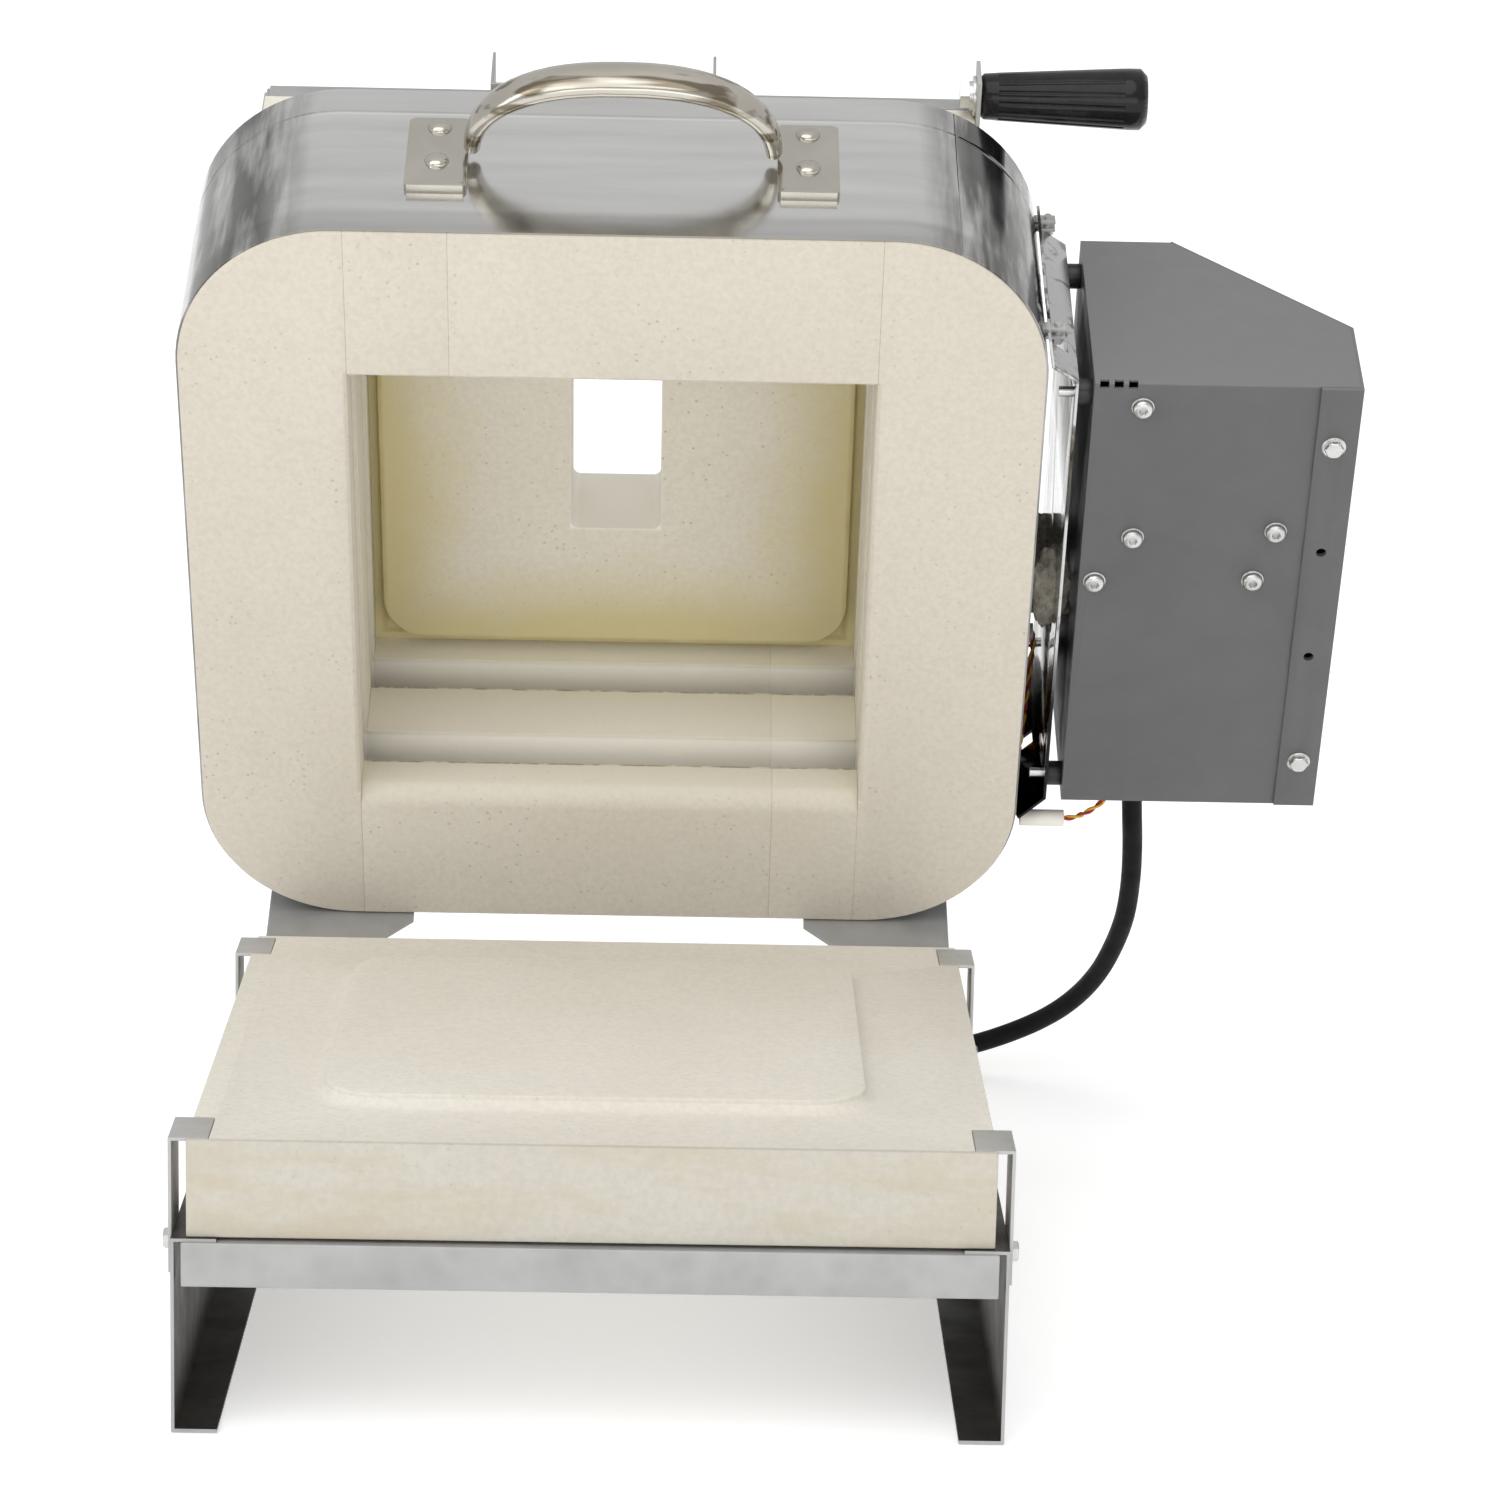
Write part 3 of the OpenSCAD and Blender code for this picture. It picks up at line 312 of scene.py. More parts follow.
def make_vent_brick():
    """The slab at the chamber's back, yellowed round the chamber's edge by firing."""
    s, base = brick_base("vent_brick", (0.86, 0.82, 0.73), (0.82, 0.775, 0.67), 0.8)
    centre = on_bell(0, MID, 0)
    across = s.maths("ABSOLUTE", s.along(ACROSS, centre))
    up = s.along(UP, centre)
    off = s.maths("MAXIMUM", across, s.maths("ABSOLUTE", up))
    low = s.times(up, -0.16)
    wander = s.times(s.noise(14, 5, 0.65), 60)
    edge = s.maths("ADD", s.maths("ADD", off, wander), low)
    scorched = s.ramp(s.share(edge, 150), (0.58, 0.0), (0.74, 0.5), (0.86, 0.95))
    behind = s.along(BACK, on_bell(0, 0, RING_DEPTH + 1))
    front = s.maths("SUBTRACT", 1.0, s.maths("MAXIMUM", behind, 0.0, clamp=True), clamp=True)
    inside = s.times(s.ramp(s.share(off, SPAN), (0.515, 1.0), (0.53, 0.0)), front)
    tinted = s.mix(s.times(scorched, inside), base, (0.74, 0.655, 0.37))
    # A painted shadow line along the gap at the raised plug's edge, and the slot's cut faces painted paler as
    # painted light against the shade inside the slot
    line = s.ramp(s.share(off, SPAN), (0.474, 0.0), (0.481, 0.75), (0.487, 0.75), (0.492, 0.0))
    line = s.times(s.times(line, s.noise(60, 4)), front)
    plug_gap_shadowed = s.mix(line, tinted, (0.36, 0.28, 0.08))
    from_slot = s.maths("MAXIMUM", s.times(across, 2.08), s.maths("ABSOLUTE", up))
    slot = s.ramp(s.share(from_slot, SPAN), (0.193, 1.0), (0.197, 0.0))
    # Painted light: the slot's inner faces are lightened against their shade
    s.colour(s.mix(slot, plug_gap_shadowed, (0.97, 0.94, 0.87)))
    brick_bump(s)
    return s.material


def make_floor_brick():
    s, base = brick_base("floor_brick", (0.76, 0.725, 0.65), (0.72, 0.68, 0.595), 0.35)
    front = s.along(Vector((0, -1, 0)), on_stand(0, -138, 0))
    smear = s.ramp(s.noise(20, 5, 0.65, stretch=(0.5, 1, 2.2)), (0.47, 0.0), (0.62, 0.55))
    face = s.share(front, 2)
    mask = s.times(face, smear)
    # Painted shade: the slab's front face is painted darker than its top
    shade = s.mix(face, (1.0, 1.0, 1.0), (0.76, 0.76, 0.75))
    s.colour(s.tint(s.mix(mask, base, (0.66, 0.575, 0.42)), shade))
    brick_bump(s, 0.35)
    return s.material


def make_mirror_steel():
    """Polished sheet: soft smudges, a seam line near the back, a painted dark reflection along the front edge and
    painted streaky reflections darkening the round corners.
    """
    s = Shader("mirror_steel", (0.74, 0.74, 0.74), rough=0.14, metal=1.0)
    s.roughness(s.ramp(s.noise(14, 5, 0.6, distort=0.5), (0.35, 0.10), (0.7, 0.20)))
    streak = s.ramp(
        s.noise(30, 4, 0.5, stretch=(0.3, 3, 3)), (0.3, (0.62, 0.615, 0.60)), (0.7, (0.73, 0.725, 0.71)),
    )
    depth = s.share(s.along(BACK, on_bell(0, 0, 0)), RING_DEPTH)
    # Painted reflection: a darker strip along the front edge
    front_dark_reflection = s.ramp(depth, (0.0, 0.78), (0.13, 0.8), (0.17, 1.0), (1.0, 1.0))
    # Painted reflections: darker streaky lines across the round corners
    far = s.maths("ABSOLUTE", s.along(ACROSS, on_bell(0, 0, 0)))
    turned = s.ramp(s.share(far, 170), (0.68, 0.0), (0.8, 1.0), (0.97, 0.75))
    lines = s.ramp(s.noise(60, 3, 0.6, stretch=(2.2, 0.25, 0.25)), (0.42, 0.22), (0.66, 0.95))
    corner = s.mix(turned, (1.0, 1.0, 1.0), lines)
    s.colour(s.tint(s.tint(streak, front_dark_reflection), corner))
    bead = s.ramp(depth, (0.815, 0.0), (0.83, 1.0), (0.845, 0.0))
    beside = s.maths("ABSOLUTE", s.along(ACROSS, on_bell(131, 0, 0)))
    seam = s.ramp(s.share(beside, 10), (0.0, 0.0), (0.04, 0.0), (0.07, 1.0))
    s.bump(
        (s.noise(7, 2, 0.4), 0.2, 1.0), (s.noise(160, 3, 0.5, stretch=(0.15, 2, 2)), 0.03, 0.08),
        (bead, 0.8, 0.5), (seam, 0.7, 0.4),
    )
    return s.material


def make_baffle_steel():
    """Bright, dented shield steel, with painted light and dark reflections layered up its height, near black at
    its foot.
    """
    s = Shader("baffle_steel", (0.40, 0.40, 0.40), rough=0.12, metal=1.0)
    height = s.maths("ADD", s.along(UP, on_bell(0, 0, 0)), s.times(s.noise(40, 3), 10))
    # Painted reflections: light and dark layers up the height, near black at the foot
    reflection_bands = s.ramp(
        s.share(height, 300), (0.0, 0.02), (0.40, 0.03), (0.46, 0.22), (0.50, 0.62),
        (0.695, 0.66), (0.71, 0.09), (0.83, (0.16, 0.14, 0.10)), (0.85, 0.62), (1.0, 0.58),
    )
    reflection_streaks = s.ramp(s.noise(60, 3, 0.6, stretch=(2, 2, 0.5), distort=0.8), (0.36, 0.35), (0.46, 1.0))
    s.colour(s.tint(reflection_bands, reflection_streaks))
    s.roughness(s.ramp(s.noise(25, 4), (0.35, 0.08), (0.7, 0.22)))
    s.bump((s.noise(16, 2, 0.4), 0.45, 1.6), (s.noise(60, 2), 0.12, 0.4))
    return s.material


def make_nickel():
    """Polished nickel plate, with painted reflections drawn out along the handle."""
    s = Shader("nickel", (0.72, 0.69, 0.62), rough=0.16, metal=1.0)
    s.roughness(s.ramp(s.noise(40, 4), (0.35, 0.12), (0.7, 0.22)))
    plate = s.ramp(s.noise(18, 3), (0.3, (0.50, 0.475, 0.42)), (0.7, (0.60, 0.575, 0.52)))
    # Painted reflections: bright and dark lines stretched along the handle, above the ring's top
    lines = s.ramp(
        s.noise(95, 2, 0.5, stretch=(0.12, 1.6, 1.6)), (0.40, (0.36, 0.32, 0.26)), (0.5, (1.0, 0.99, 0.97)),
    )
    above = s.share(s.along(UP, on_bell(0, RING + 5, 0)), 4)
    s.colour(s.tint(plate, s.mix(above, (1.0, 1.0, 1.0), lines)))
    s.bump((s.noise(70, 3, 0.5), 0.12, 0.25), (s.noise(600, 2), 0.03, 0.04))
    return s.material


def make_galvanised(name="galvanised", light=(0.42, 0.42, 0.415), dark=(0.36, 0.36, 0.355)):
    s = Shader(name, light, rough=0.42, metal=0.4)
    cloud = s.ramp(s.noise(24, 5, 0.65), (0.35, dark), (0.68, light))
    spangle = s.ramp(s.cells(110), (0.1, 0.95), (0.6, 1.02))
    s.colour(s.tint(cloud, spangle))
    s.roughness(s.ramp(s.noise(60, 4), (0.35, 0.34), (0.7, 0.5)))
    s.bump((s.noise(180, 3), 0.08, 0.1), (s.noise(30, 3), 0.08, 0.4))
    return s.material


def mottled(name, colour, rough, tones, gloss=None, grain=None, metal=0.0, **sockets):
    """A material whose colour drifts between tones, with an uneven gloss and a fine grain.

    tones and gloss are each a noise and its ramp's stops. grain is a noise, a strength and a
    distance in millimetres.
    """
    s = Shader(name, colour, rough, metal, **sockets)
    s.colour(s.ramp(s.noise(*tones[0]), *tones[1:]))
    if gloss:
        s.roughness(s.ramp(s.noise(*gloss[0]), *gloss[1:]))
    if grain:
        s.bump((s.noise(*grain[0]), *grain[1:]))
    return s.material


def make_rubber(name, shade, rough):
    tones = ((80, 4), (0.3, shade * 0.7), (0.7, shade * 1.6))
    gloss = ((120, 3), (0.3, rough - 0.1), (0.7, rough + 0.12))
    colour = (shade, shade, shade * 1.05)
    return mottled(name, colour, rough, tones, gloss, ((1200, 2), 0.12, 0.05), Specular_IOR_Level=0.1)


def make_box_paint():
    """Mid-grey powder coat with its fine orange-peel, its top face painted paler as a painted sheen."""
    s = Shader("box_paint", (0.125, 0.125, 0.13), rough=0.5)
    base = s.ramp(s.noise(35, 5, 0.6), (0.3, (0.102, 0.102, 0.104)), (0.7, (0.114, 0.114, 0.116)))
    # Painted sheen: the top face is lightened
    top = s.maths("ADD", s.along(UP, on_bell(0, 270, 0)), 0.9, clamp=True)
    s.colour(s.mix(top, base, (0.185, 0.185, 0.188)))
    s.roughness(s.ramp(s.noise(90, 3), (0.3, 0.42), (0.7, 0.56)))
    s.bump((s.noise(850, 3, 0.6), 0.1, 0.06), (s.noise(120, 2), 0.04, 0.1))
    return s.material


def make_cement():
    s = Shader("cement", (0.42, 0.39, 0.33), rough=0.85)
    lumps = s.noise(160, 6, 0.7)
    s.colour(s.ramp(
        lumps, (0.3, (0.22, 0.20, 0.165)), (0.55, (0.45, 0.42, 0.35)), (0.75, (0.66, 0.63, 0.55)),
    ))
    s.bump((lumps, 0.9, 2.0), (s.noise(700, 4, 0.7), 0.5, 0.3))
    return s.material


def make_plastic(name, colour, rough=0.4):
    dark = tuple(c * 0.85 for c in colour)
    light = tuple(min(1, c * 1.12) for c in colour)
    gloss = ((150, 3), (0.3, rough - 0.06), (0.7, rough + 0.08))
    return mottled(name, colour, rough, ((60, 4), (0.3, dark), (0.7, light)), gloss, ((500, 3), 0.1, 0.06))


def make_board():
    s = Shader("board", (0.02, 0.12, 0.05), rough=0.35)
    tracks = s.ramp(s.cells(600), (0.25, (0.018, 0.10, 0.04)), (0.4, (0.03, 0.19, 0.08)))
    s.colour(tracks)
    s.bump((s.cells(600), 0.1, 0.05))
    return s.material


MATERIALS = {
    "ring_brick": make_ring_brick(),
    "vent_brick": make_vent_brick(),
    "floor_brick": make_floor_brick(),
    "mirror": make_mirror_steel(),
    "baffle": make_baffle_steel(),
    "nickel": make_nickel(),
    "galvanised": make_galvanised(),
    "clip": make_galvanised("clip_zinc", (0.50, 0.50, 0.49), (0.45, 0.45, 0.44)),
    "dark": mottled(
        "dark_sheet", (0.022, 0.021, 0.019), 0.42,
        ((30, 5, 0.7), (0.35, (0.014, 0.013, 0.012)), (0.7, (0.045, 0.041, 0.035))),
        ((45, 4), (0.3, 0.3), (0.7, 0.55)), ((220, 3), 0.15, 0.1), 0.3,
    ),
    "zinc": mottled(
        "zinc", (0.62, 0.62, 0.61), 0.28,
        ((90, 4), (0.3, (0.52, 0.52, 0.51)), (0.7, (0.70, 0.70, 0.69))),
        ((140, 3), (0.35, 0.2), (0.7, 0.38)), ((700, 2), 0.08, 0.05), 1.0,
    ),
    "bakelite": mottled(
        "bakelite", (0.006, 0.006, 0.0065), 0.16,
        ((200, 3), (0.3, (0.005, 0.005, 0.005)), (0.7, (0.011, 0.011, 0.012))),
        ((60, 4), (0.3, 0.12), (0.7, 0.26)), ((500, 2), 0.04, 0.04),
        Specular_IOR_Level=0.22, Coat_Weight=0.15, Coat_Roughness=0.06,
    ),
    "cord": make_rubber("cord_rubber", 0.005, 0.5),
    "plug": make_rubber("moulded_rubber", 0.018, 0.55),
    "brass": make_plastic("blade_brass", (0.62, 0.46, 0.2), 0.3),
    "box": make_box_paint(),
    "ceramic": mottled(
        "ceramic", (0.83, 0.80, 0.72), 0.55,
        ((90, 4), (0.3, (0.77, 0.735, 0.65)), (0.7, (0.87, 0.845, 0.78))),
        grain=((900, 3), 0.12, 0.06),
    ),
    "cement": make_cement(),
    "wire": mottled(
        "element_wire", (0.20, 0.165, 0.135), 0.6,
        ((200, 4), (0.3, (0.12, 0.10, 0.085)), (0.7, (0.30, 0.25, 0.20))),
        grain=((1500, 3), 0.3, 0.06), metal=0.6,
    ),
    "black": make_plastic("black_spacer", (0.02, 0.02, 0.02), 0.35),
    "red_wire": make_plastic("red_wire", (0.42, 0.025, 0.015), 0.35),
    "yellow_wire": make_plastic("yellow_wire", (0.72, 0.42, 0.03), 0.35),
    "relay": make_plastic("relay_case", (0.02, 0.05, 0.14), 0.4),
    "board": make_board(),
    "bezel": make_plastic("bezel", (0.02, 0.021, 0.023), 0.45),
    "black_switch": make_plastic("switch", (0.012, 0.012, 0.012), 0.25),
    "key": make_plastic("key", (0.28, 0.285, 0.3), 0.5),
    "window": make_plastic("window", (0.012, 0.004, 0.004), 0.12),
    "lamp": make_plastic("lamp", (0.30, 0.02, 0.01), 0.25),
    "mark": make_plastic("mark", (0.75, 0.75, 0.74), 0.5),
    "floor": mottled(
        "studio_floor", (0.80, 0.80, 0.80), 0.9, ((1.5, 3), (0.3, 0.79), (0.7, 0.81)),
        Specular_IOR_Level=0.05, Emission_Color=(1, 1, 1, 1), Emission_Strength=0.42,
    ),
}

# ------------------------------------------------------------------ mesh helpers


def dress(node, *kinds):
    """Gives a CAD node its materials."""
    mesh = nodes[node].data
    mesh.materials.clear()
    for kind in kinds:
        mesh.materials.append(MATERIALS[kind])
    return mesh


def put(obj, body, kind, slot, *replaced):
    """Gives a piece its material and makes it ride on a body, in place of some CAD nodes."""
    obj.data.materials.clear()
    obj.data.materials.append(MATERIALS[kind])
    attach(obj, body)
    for node in replaced:
        dress(node, kind)
    if replaced:
        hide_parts(*replaced)
    return obj


def smooth(obj, angle=35):
    """Shades a piece smooth except over its sharp edges."""
    mesh = obj.data
    mesh.polygons.foreach_set("use_smooth", [True] * len(mesh.polygons))
    bm = bmesh.new()
    bm.from_mesh(mesh)
    for edge in bm.edges:
        sharp = len(edge.link_faces) != 2 or edge.calc_face_angle(0) > math.radians(angle)
        edge.smooth = not sharp
    bm.to_mesh(mesh)
    bm.free()


def rounded(obj, width, segments, angle):
    """Rounds the edges that turn by more than an angle, in the mesh itself."""
    made = obj.modifiers.new("round", "BEVEL")
    made.width = width * MM
    made.segments = segments
    made.limit_method = "ANGLE"
    made.angle_limit = math.radians(angle)
    depsgraph = bpy.context.evaluated_depsgraph_get()
    baked = bpy.data.meshes.new_from_object(obj.evaluated_get(depsgraph))
    obj.modifiers.clear()
    obj.data = baked


def mesh_object(name, bm, matrix=None):
    mesh = bpy.data.meshes.new(name)
    if matrix is not None:
        bm.transform(matrix)
    bmesh.ops.recalc_face_normals(bm, faces=bm.faces)
    bm.to_mesh(mesh)
    bm.free()
    obj = bpy.data.objects.new(name, mesh)
    bpy.context.scene.collection.objects.link(obj)
    return obj


def copy_of(node, name, bevel=0.0, segments=2, angle=35):
    """A new piece with a CAD node's shape, its flat faces joined and its edges rounded."""
    bm = bmesh.new()
    bm.from_mesh(nodes[node].data)
    bmesh.ops.remove_doubles(bm, verts=bm.verts, dist=0.00002)
    bmesh.ops.dissolve_limit(bm, angle_limit=math.radians(1), verts=bm.verts, edges=bm.edges)
    obj = mesh_object(name, bm)
    if bevel:
        rounded(obj, bevel, segments, angle)
    smooth(obj, 40)
    return obj


def circle(bm, radius, height, count):
    """A ring of points about Z."""
    ring = []
    for k in range(count):
        turn = 2 * math.pi * k / count
        ring.append(bm.verts.new((radius * MM * math.cos(turn), radius * MM * math.sin(turn), height * MM)))
    return ring


def bridge(bm, rings):
    """Faces from each ring of points to the next. A ring may be a single point."""
    for low, high in zip(rings, rings[1:]):
        steps = max(len(low), len(high))
        for k in range(steps):
            after = (k + 1) % steps
            corners = [
                low[k % len(low)], low[after % len(low)], high[after % len(high)], high[k % len(high)],
            ]
            unique = list(dict.fromkeys(corners))
            if len(unique) > 2:
                bm.faces.new(unique)


def spun(name, outline, matrix, steps=48):
    """A turned piece: (radius, height) points in millimetres spun about its own Z."""
    bm = bmesh.new()
    bridge(bm, [
        circle(bm, radius, height, steps if radius else 1) for radius, height in outline
    ])
    return mesh_object(name, bm, matrix)


def join(name, objects):
    """Joins meshes into one piece."""
    bm = bmesh.new()
    for obj in objects:
        bm.from_mesh(obj.data)
        bpy.data.objects.remove(obj)
    return mesh_object(name, bm)


def put_joined(name, parts, angle, *where):
    """Joins parts into one piece, shades it smooth up to an angle and puts it in place."""
    piece = join(name, parts)
    smooth(piece, angle)
    return put(piece, *where)


def tube(name, points, radius, resolution=6):
    """A round curve through a list of points."""
    data = bpy.data.curves.new(name, "CURVE")
    data.dimensions = "3D"
    data.bevel_depth = radius * MM
    data.bevel_resolution = resolution
    data.use_fill_caps = True
    spline = data.splines.new("POLY")
    spline.points.add(len(points) - 1)
    for target, point in zip(spline.points, points):
        target.co = (*point, 1)
        target.radius = 1
    spline.use_smooth = True
    obj = bpy.data.objects.new(name, data)
    bpy.context.scene.collection.objects.link(obj)
    return obj


def smooth_line(points, steps=6):
    """A Catmull-Rom line through points."""
    ends = [points[0] * 2 - points[1], *points, points[-1] * 2 - points[-2]]
    line = []
    for a, b, c, d in zip(ends, ends[1:], ends[2:], ends[3:]):
        for k in range(steps):
            t = k / steps
            line.append((
                b * 2 + (c - a) * t + (a * 2 - b * 5 + c * 4 - d) * t * t
                + (b * 3 - a - c * 3 + d) * t ** 3
            ) / 2)
    line.append(points[-1])
    return line


# ------------------------------------------------------------------ power cord

CORD_D = 8.5
CORD_ROUTE = [
    (217, 204.2, 167.3), (217, 209, 157.5), (218, 215, 145), (219.5, 224, 130), (220.5, 236, 112),
    (220, 250, 93), (217, 264, 76), (212, 278, 60), (204, 290, 46), (193, 301, 34),
    (178, 311, 23.5), (160, 320, 14.5), (140, 327.5, 8), (118, 333, 4.8), (95, 337.5, 4.3),
    (70, 341, 4.3), (45, 343.5, 4.3), (20, 345, 4.3), (-5, 345.4, 4.3), (-30, 345.2, 4.3),
]
COIL_AT = (-34, 290.5)
COIL_MID_R = 50.5
COIL_TURNS = 4.25
PLUG_Y = 277
PLUG_Z = 11


def coil_point(turn):
    """A point of the coil: two turns inwards on the surface, then two outwards on top of them."""
    layer = [(0, 1, 0), (1, 0, 0), (2, 0, 1), (3, 1, 1), (4, 1, 1)]
    step = min(int(turn + 0.12), 4)
    since = turn + 0.12 - step
    place = (step, *layer[step][1:])
    before = layer[max(step - 1, 0)]
    ease = min(1, since / 0.24) if step else 1
    ease = ease * ease * (3 - 2 * ease)
    out = before[1] + (place[1] - before[1]) * ease
    high = before[2] + (place[2] - before[2]) * ease
    radius = COIL_MID_R + (out - 0.5) * CORD_D
    angle = math.pi / 2 + 2 * math.pi * turn
    return on_stand(
        COIL_AT[0] + radius * math.cos(angle),
        COIL_AT[1] + radius * math.sin(angle),
        4.3 + high * (CORD_D - 0.1),
    )


def make_cord():
    laid = smooth_line([on_stand(*p) for p in CORD_ROUTE], 4)
    steps = 32
    coil = [coil_point(k / steps) for k in range(1, int(COIL_TURNS * steps) + 1)]
    tail = [on_stand(COIL_AT[0] - COIL_MID_R - CORD_D / 2, PLUG_Y + 1, PLUG_Z + 0.6)]
    points = laid + coil + tail
    cord = tube("flex", points, CORD_D / 2 - 0.02, 7)
    put(cord, "stand", "cord", "cord", "power_cord", "cord_coil")
    plug = make_plug()


def rounded_box(name, size, matrix, bevel, segments=3):
    bm = bmesh.new()
    bmesh.ops.create_cube(bm, size=1)
    bmesh.ops.scale(bm, vec=Vector(size) * MM, verts=bm.verts)
    bmesh.ops.bevel(
        bm, geom=bm.edges[:], offset=bevel * MM, segments=segments, profile=0.5, affect="EDGES",
    )
    return mesh_object(name, bm, matrix)


def make_plug():
    """Moulded plug: ribbed strain relief and rounded body. Its blades are the next piece."""
    x = COIL_AT[0] - COIL_MID_R - CORD_D / 2
    turn = Matrix.Rotation(math.radians(90), 4, "X")
    at = Matrix.Translation(on_stand(x, PLUG_Y, PLUG_Z)) @ turn
    outline = [(0, 0), (5.2, 0)]
    for rib in range(5):
        radius = 5.6 + 0.45 * rib
        start = 2 + rib * 4.6
        outline += [(radius + 0.3, start), (radius + 0.3, start + 2.6)]
        outline += [(radius - 0.9, start + 3.0), (radius - 0.9, start + 4.2)]
    outline += [(8, 26), (8, 29), (0, 29)]
    relief = spun("plug_relief", outline, at, 32)
    body = rounded_box(
        "plug_block", (29.6, 25.6, 20.6), Matrix.Translation(on_stand(x, PLUG_Y - 27 - 13, PLUG_Z)), 5, 4,
    )
    plug = put_joined("plug_body", [relief, body], 50, "stand", "plug", "plug", "power_plug")
    blades = []
    for side in (-6.4, 6.4):
        at = Matrix.Translation(on_stand(x + side, PLUG_Y - 53 - 8.2, PLUG_Z + 0.15))
        blades.append(rounded_box(f"blade_{side}", (1.5, 17, 6.3), at, 0.5, 2))
    at = Matrix.Translation(on_stand(x, PLUG_Y - 53, PLUG_Z - 6.2)) @ turn
    blades.append(spun("earth_pin", [(0, -1), (2.4, -1), (2.4, 14), (1.2, 16.6), (0, 16.8)], at, 24))
    put_joined("plug_blades", blades, 40, "stand", "brass", "plug")
    return plug


# ------------------------------------------------------------------ screws

BUTTON_HEAD = [(0, 0), (4, 0), (4, 0.9), (3.75, 1.8), (3.1, 2.5), (2.3, 2.75), (1.75, 2.75)]


SOCKET_R = 1.75
SOCKET_DEPTH = 1.7


def hex_recess(name, matrix):
    """The six-sided socket sunk in a button head."""
    bm = bmesh.new()
    top = BUTTON_HEAD[-1][1]
    inner = SOCKET_R * 0.98
    rings = [
        circle(bm, SOCKET_R, top, 48), circle(bm, inner, top - 0.15, 6),
        circle(bm, inner, top - SOCKET_DEPTH, 6),
    ]
    for k in range(48):
        a, b = rings[0][k], rings[0][(k + 1) % 48]
        i, j = round(k / 8) % 6, round((k + 1) / 8) % 6
        bm.faces.new(list(dict.fromkeys([a, b, rings[1][j], rings[1][i]])))
    bridge(bm, rings[1:])
    bm.faces.new(rings[2])
    return mesh_object(name, bm, matrix)


def button_screw(name, matrix, washer=4.4):
    parts = [
        spun(name + "_head", [(0, 0.6)] + [(r, z + 0.6) for r, z in BUTTON_HEAD[1:]], matrix),
        hex_recess(name + "_socket", matrix @ Matrix.Translation((0, 0, 0.6 * MM))),
        spun(name + "_washer", [(0, 0), (washer, 0), (washer, 0.45), (washer - 0.2, 0.6), (0, 0.6)], matrix),
    ]
    return join(name, parts)


def hex_head(name, matrix, across=3.9, washer=4.7, height=2.9):
    """Hexagon screw with its pressed washer face, its crown chamfered."""
    steps = 48
    bm = bmesh.new()
    levels = ((0.8, 1.0, False), (height - 0.5, 1.0, False), (height, 0.9, True))
    rings = []
    for z, grow, crown in levels:
        ring = []
        for k in range(steps):
            angle = 2 * math.pi * k / steps
            flat = across * math.cos(math.pi / 6) / math.cos((angle % (math.pi / 3)) - math.pi / 6)
            radius = min(flat, across * 0.9) if crown else min(flat, across)
            reach = radius * grow * MM
            ring.append(bm.verts.new((reach * math.cos(angle), reach * math.sin(angle), z * MM)))
        rings.append(ring)
    bridge(bm, rings)
    bm.faces.new(rings[-1])
    head = mesh_object(name + "_hex", bm, matrix)
    flange = [(0, 0), (washer, 0), (washer, 0.5), (washer - 0.5, 0.9), (0, 0.9)]
    return join(name, [head, spun(name + "_flange", flange, matrix)])


def facing_front(across, up, back):
    """A matrix on the bell whose Z points out of the mouth side."""
    return bell_matrix(across, up, back) @ Matrix.Rotation(math.radians(90), 4, "X")


# ------------------------------------------------------------------ firebrick


WEAR_SIZE = 0.03


def worn(obj, amount, soft):
    """Rounds a brick's edges unevenly, the way soft brick wears."""
    rounded(obj, soft, 3, 30)
    bm = bmesh.new()
    bm.from_mesh(obj.data)
    for vert in bm.verts:
        vert.co += noise.noise_vector(vert.co / WEAR_SIZE) * amount
    bm.to_mesh(obj.data)
    bm.free()
    smooth(obj, 40)


def plug_skirt():
    """The hollow fillet worn round the foot of the floor's raised plug."""
    half, corner, steps = 97, 20, 10
    profile = [(7.0, -0.1), (5.0, 0.12), (3.2, 0.5), (1.8, 1.15), (0.8, 2.0), (0.2, 3.0), (-0.6, 3.6)]
    bm = bmesh.new()
    rings = []
    for out, high in profile:
        ring = []
        for quarter in range(4):
            for k in range(steps + 1):
                a = math.pi / 2 * (quarter + k / steps)
                sx = 1 if quarter in (0, 3) else -1
                sy = 1 if quarter in (0, 1) else -1
                x = sx * (half - corner) + (corner + out) * math.cos(a)
                y = sy * (half - corner) + (corner + out) * math.sin(a)
                ring.append(bm.verts.new(on_stand(x, y, SLAB_TOP + high)))
        rings.append(ring)
    bridge(bm, rings)
    return mesh_object("plug_skirt", bm)


def make_bricks():
    ring = [
        "brick_left", "brick_right", "brick_top_short", "brick_top_long",
        "brick_bottom_long", "brick_bottom_short",
    ]
    for node in ring:
        piece = copy_of(node, node.replace("brick", "firebrick"))
        worn(piece, 0.0001, 0.3)
        put(piece, "bell", "ring_brick", "firebrick", node)
    floor = copy_of("base_slab", "floor_slab")
    worn(floor, 0.0004, 2.6)
    put_joined("floor_slab_worn", [floor, plug_skirt()], 40, "stand", "floor_brick", "firebrick", "base_slab")
    vent = copy_of("vent_slab", "vented_slab")
    worn(vent, 0.0003, 1.5)
    put(vent, "bell", "vent_brick", "fired_brick", "vent_slab")


# ------------------------------------------------------------------ screws on the box and stand


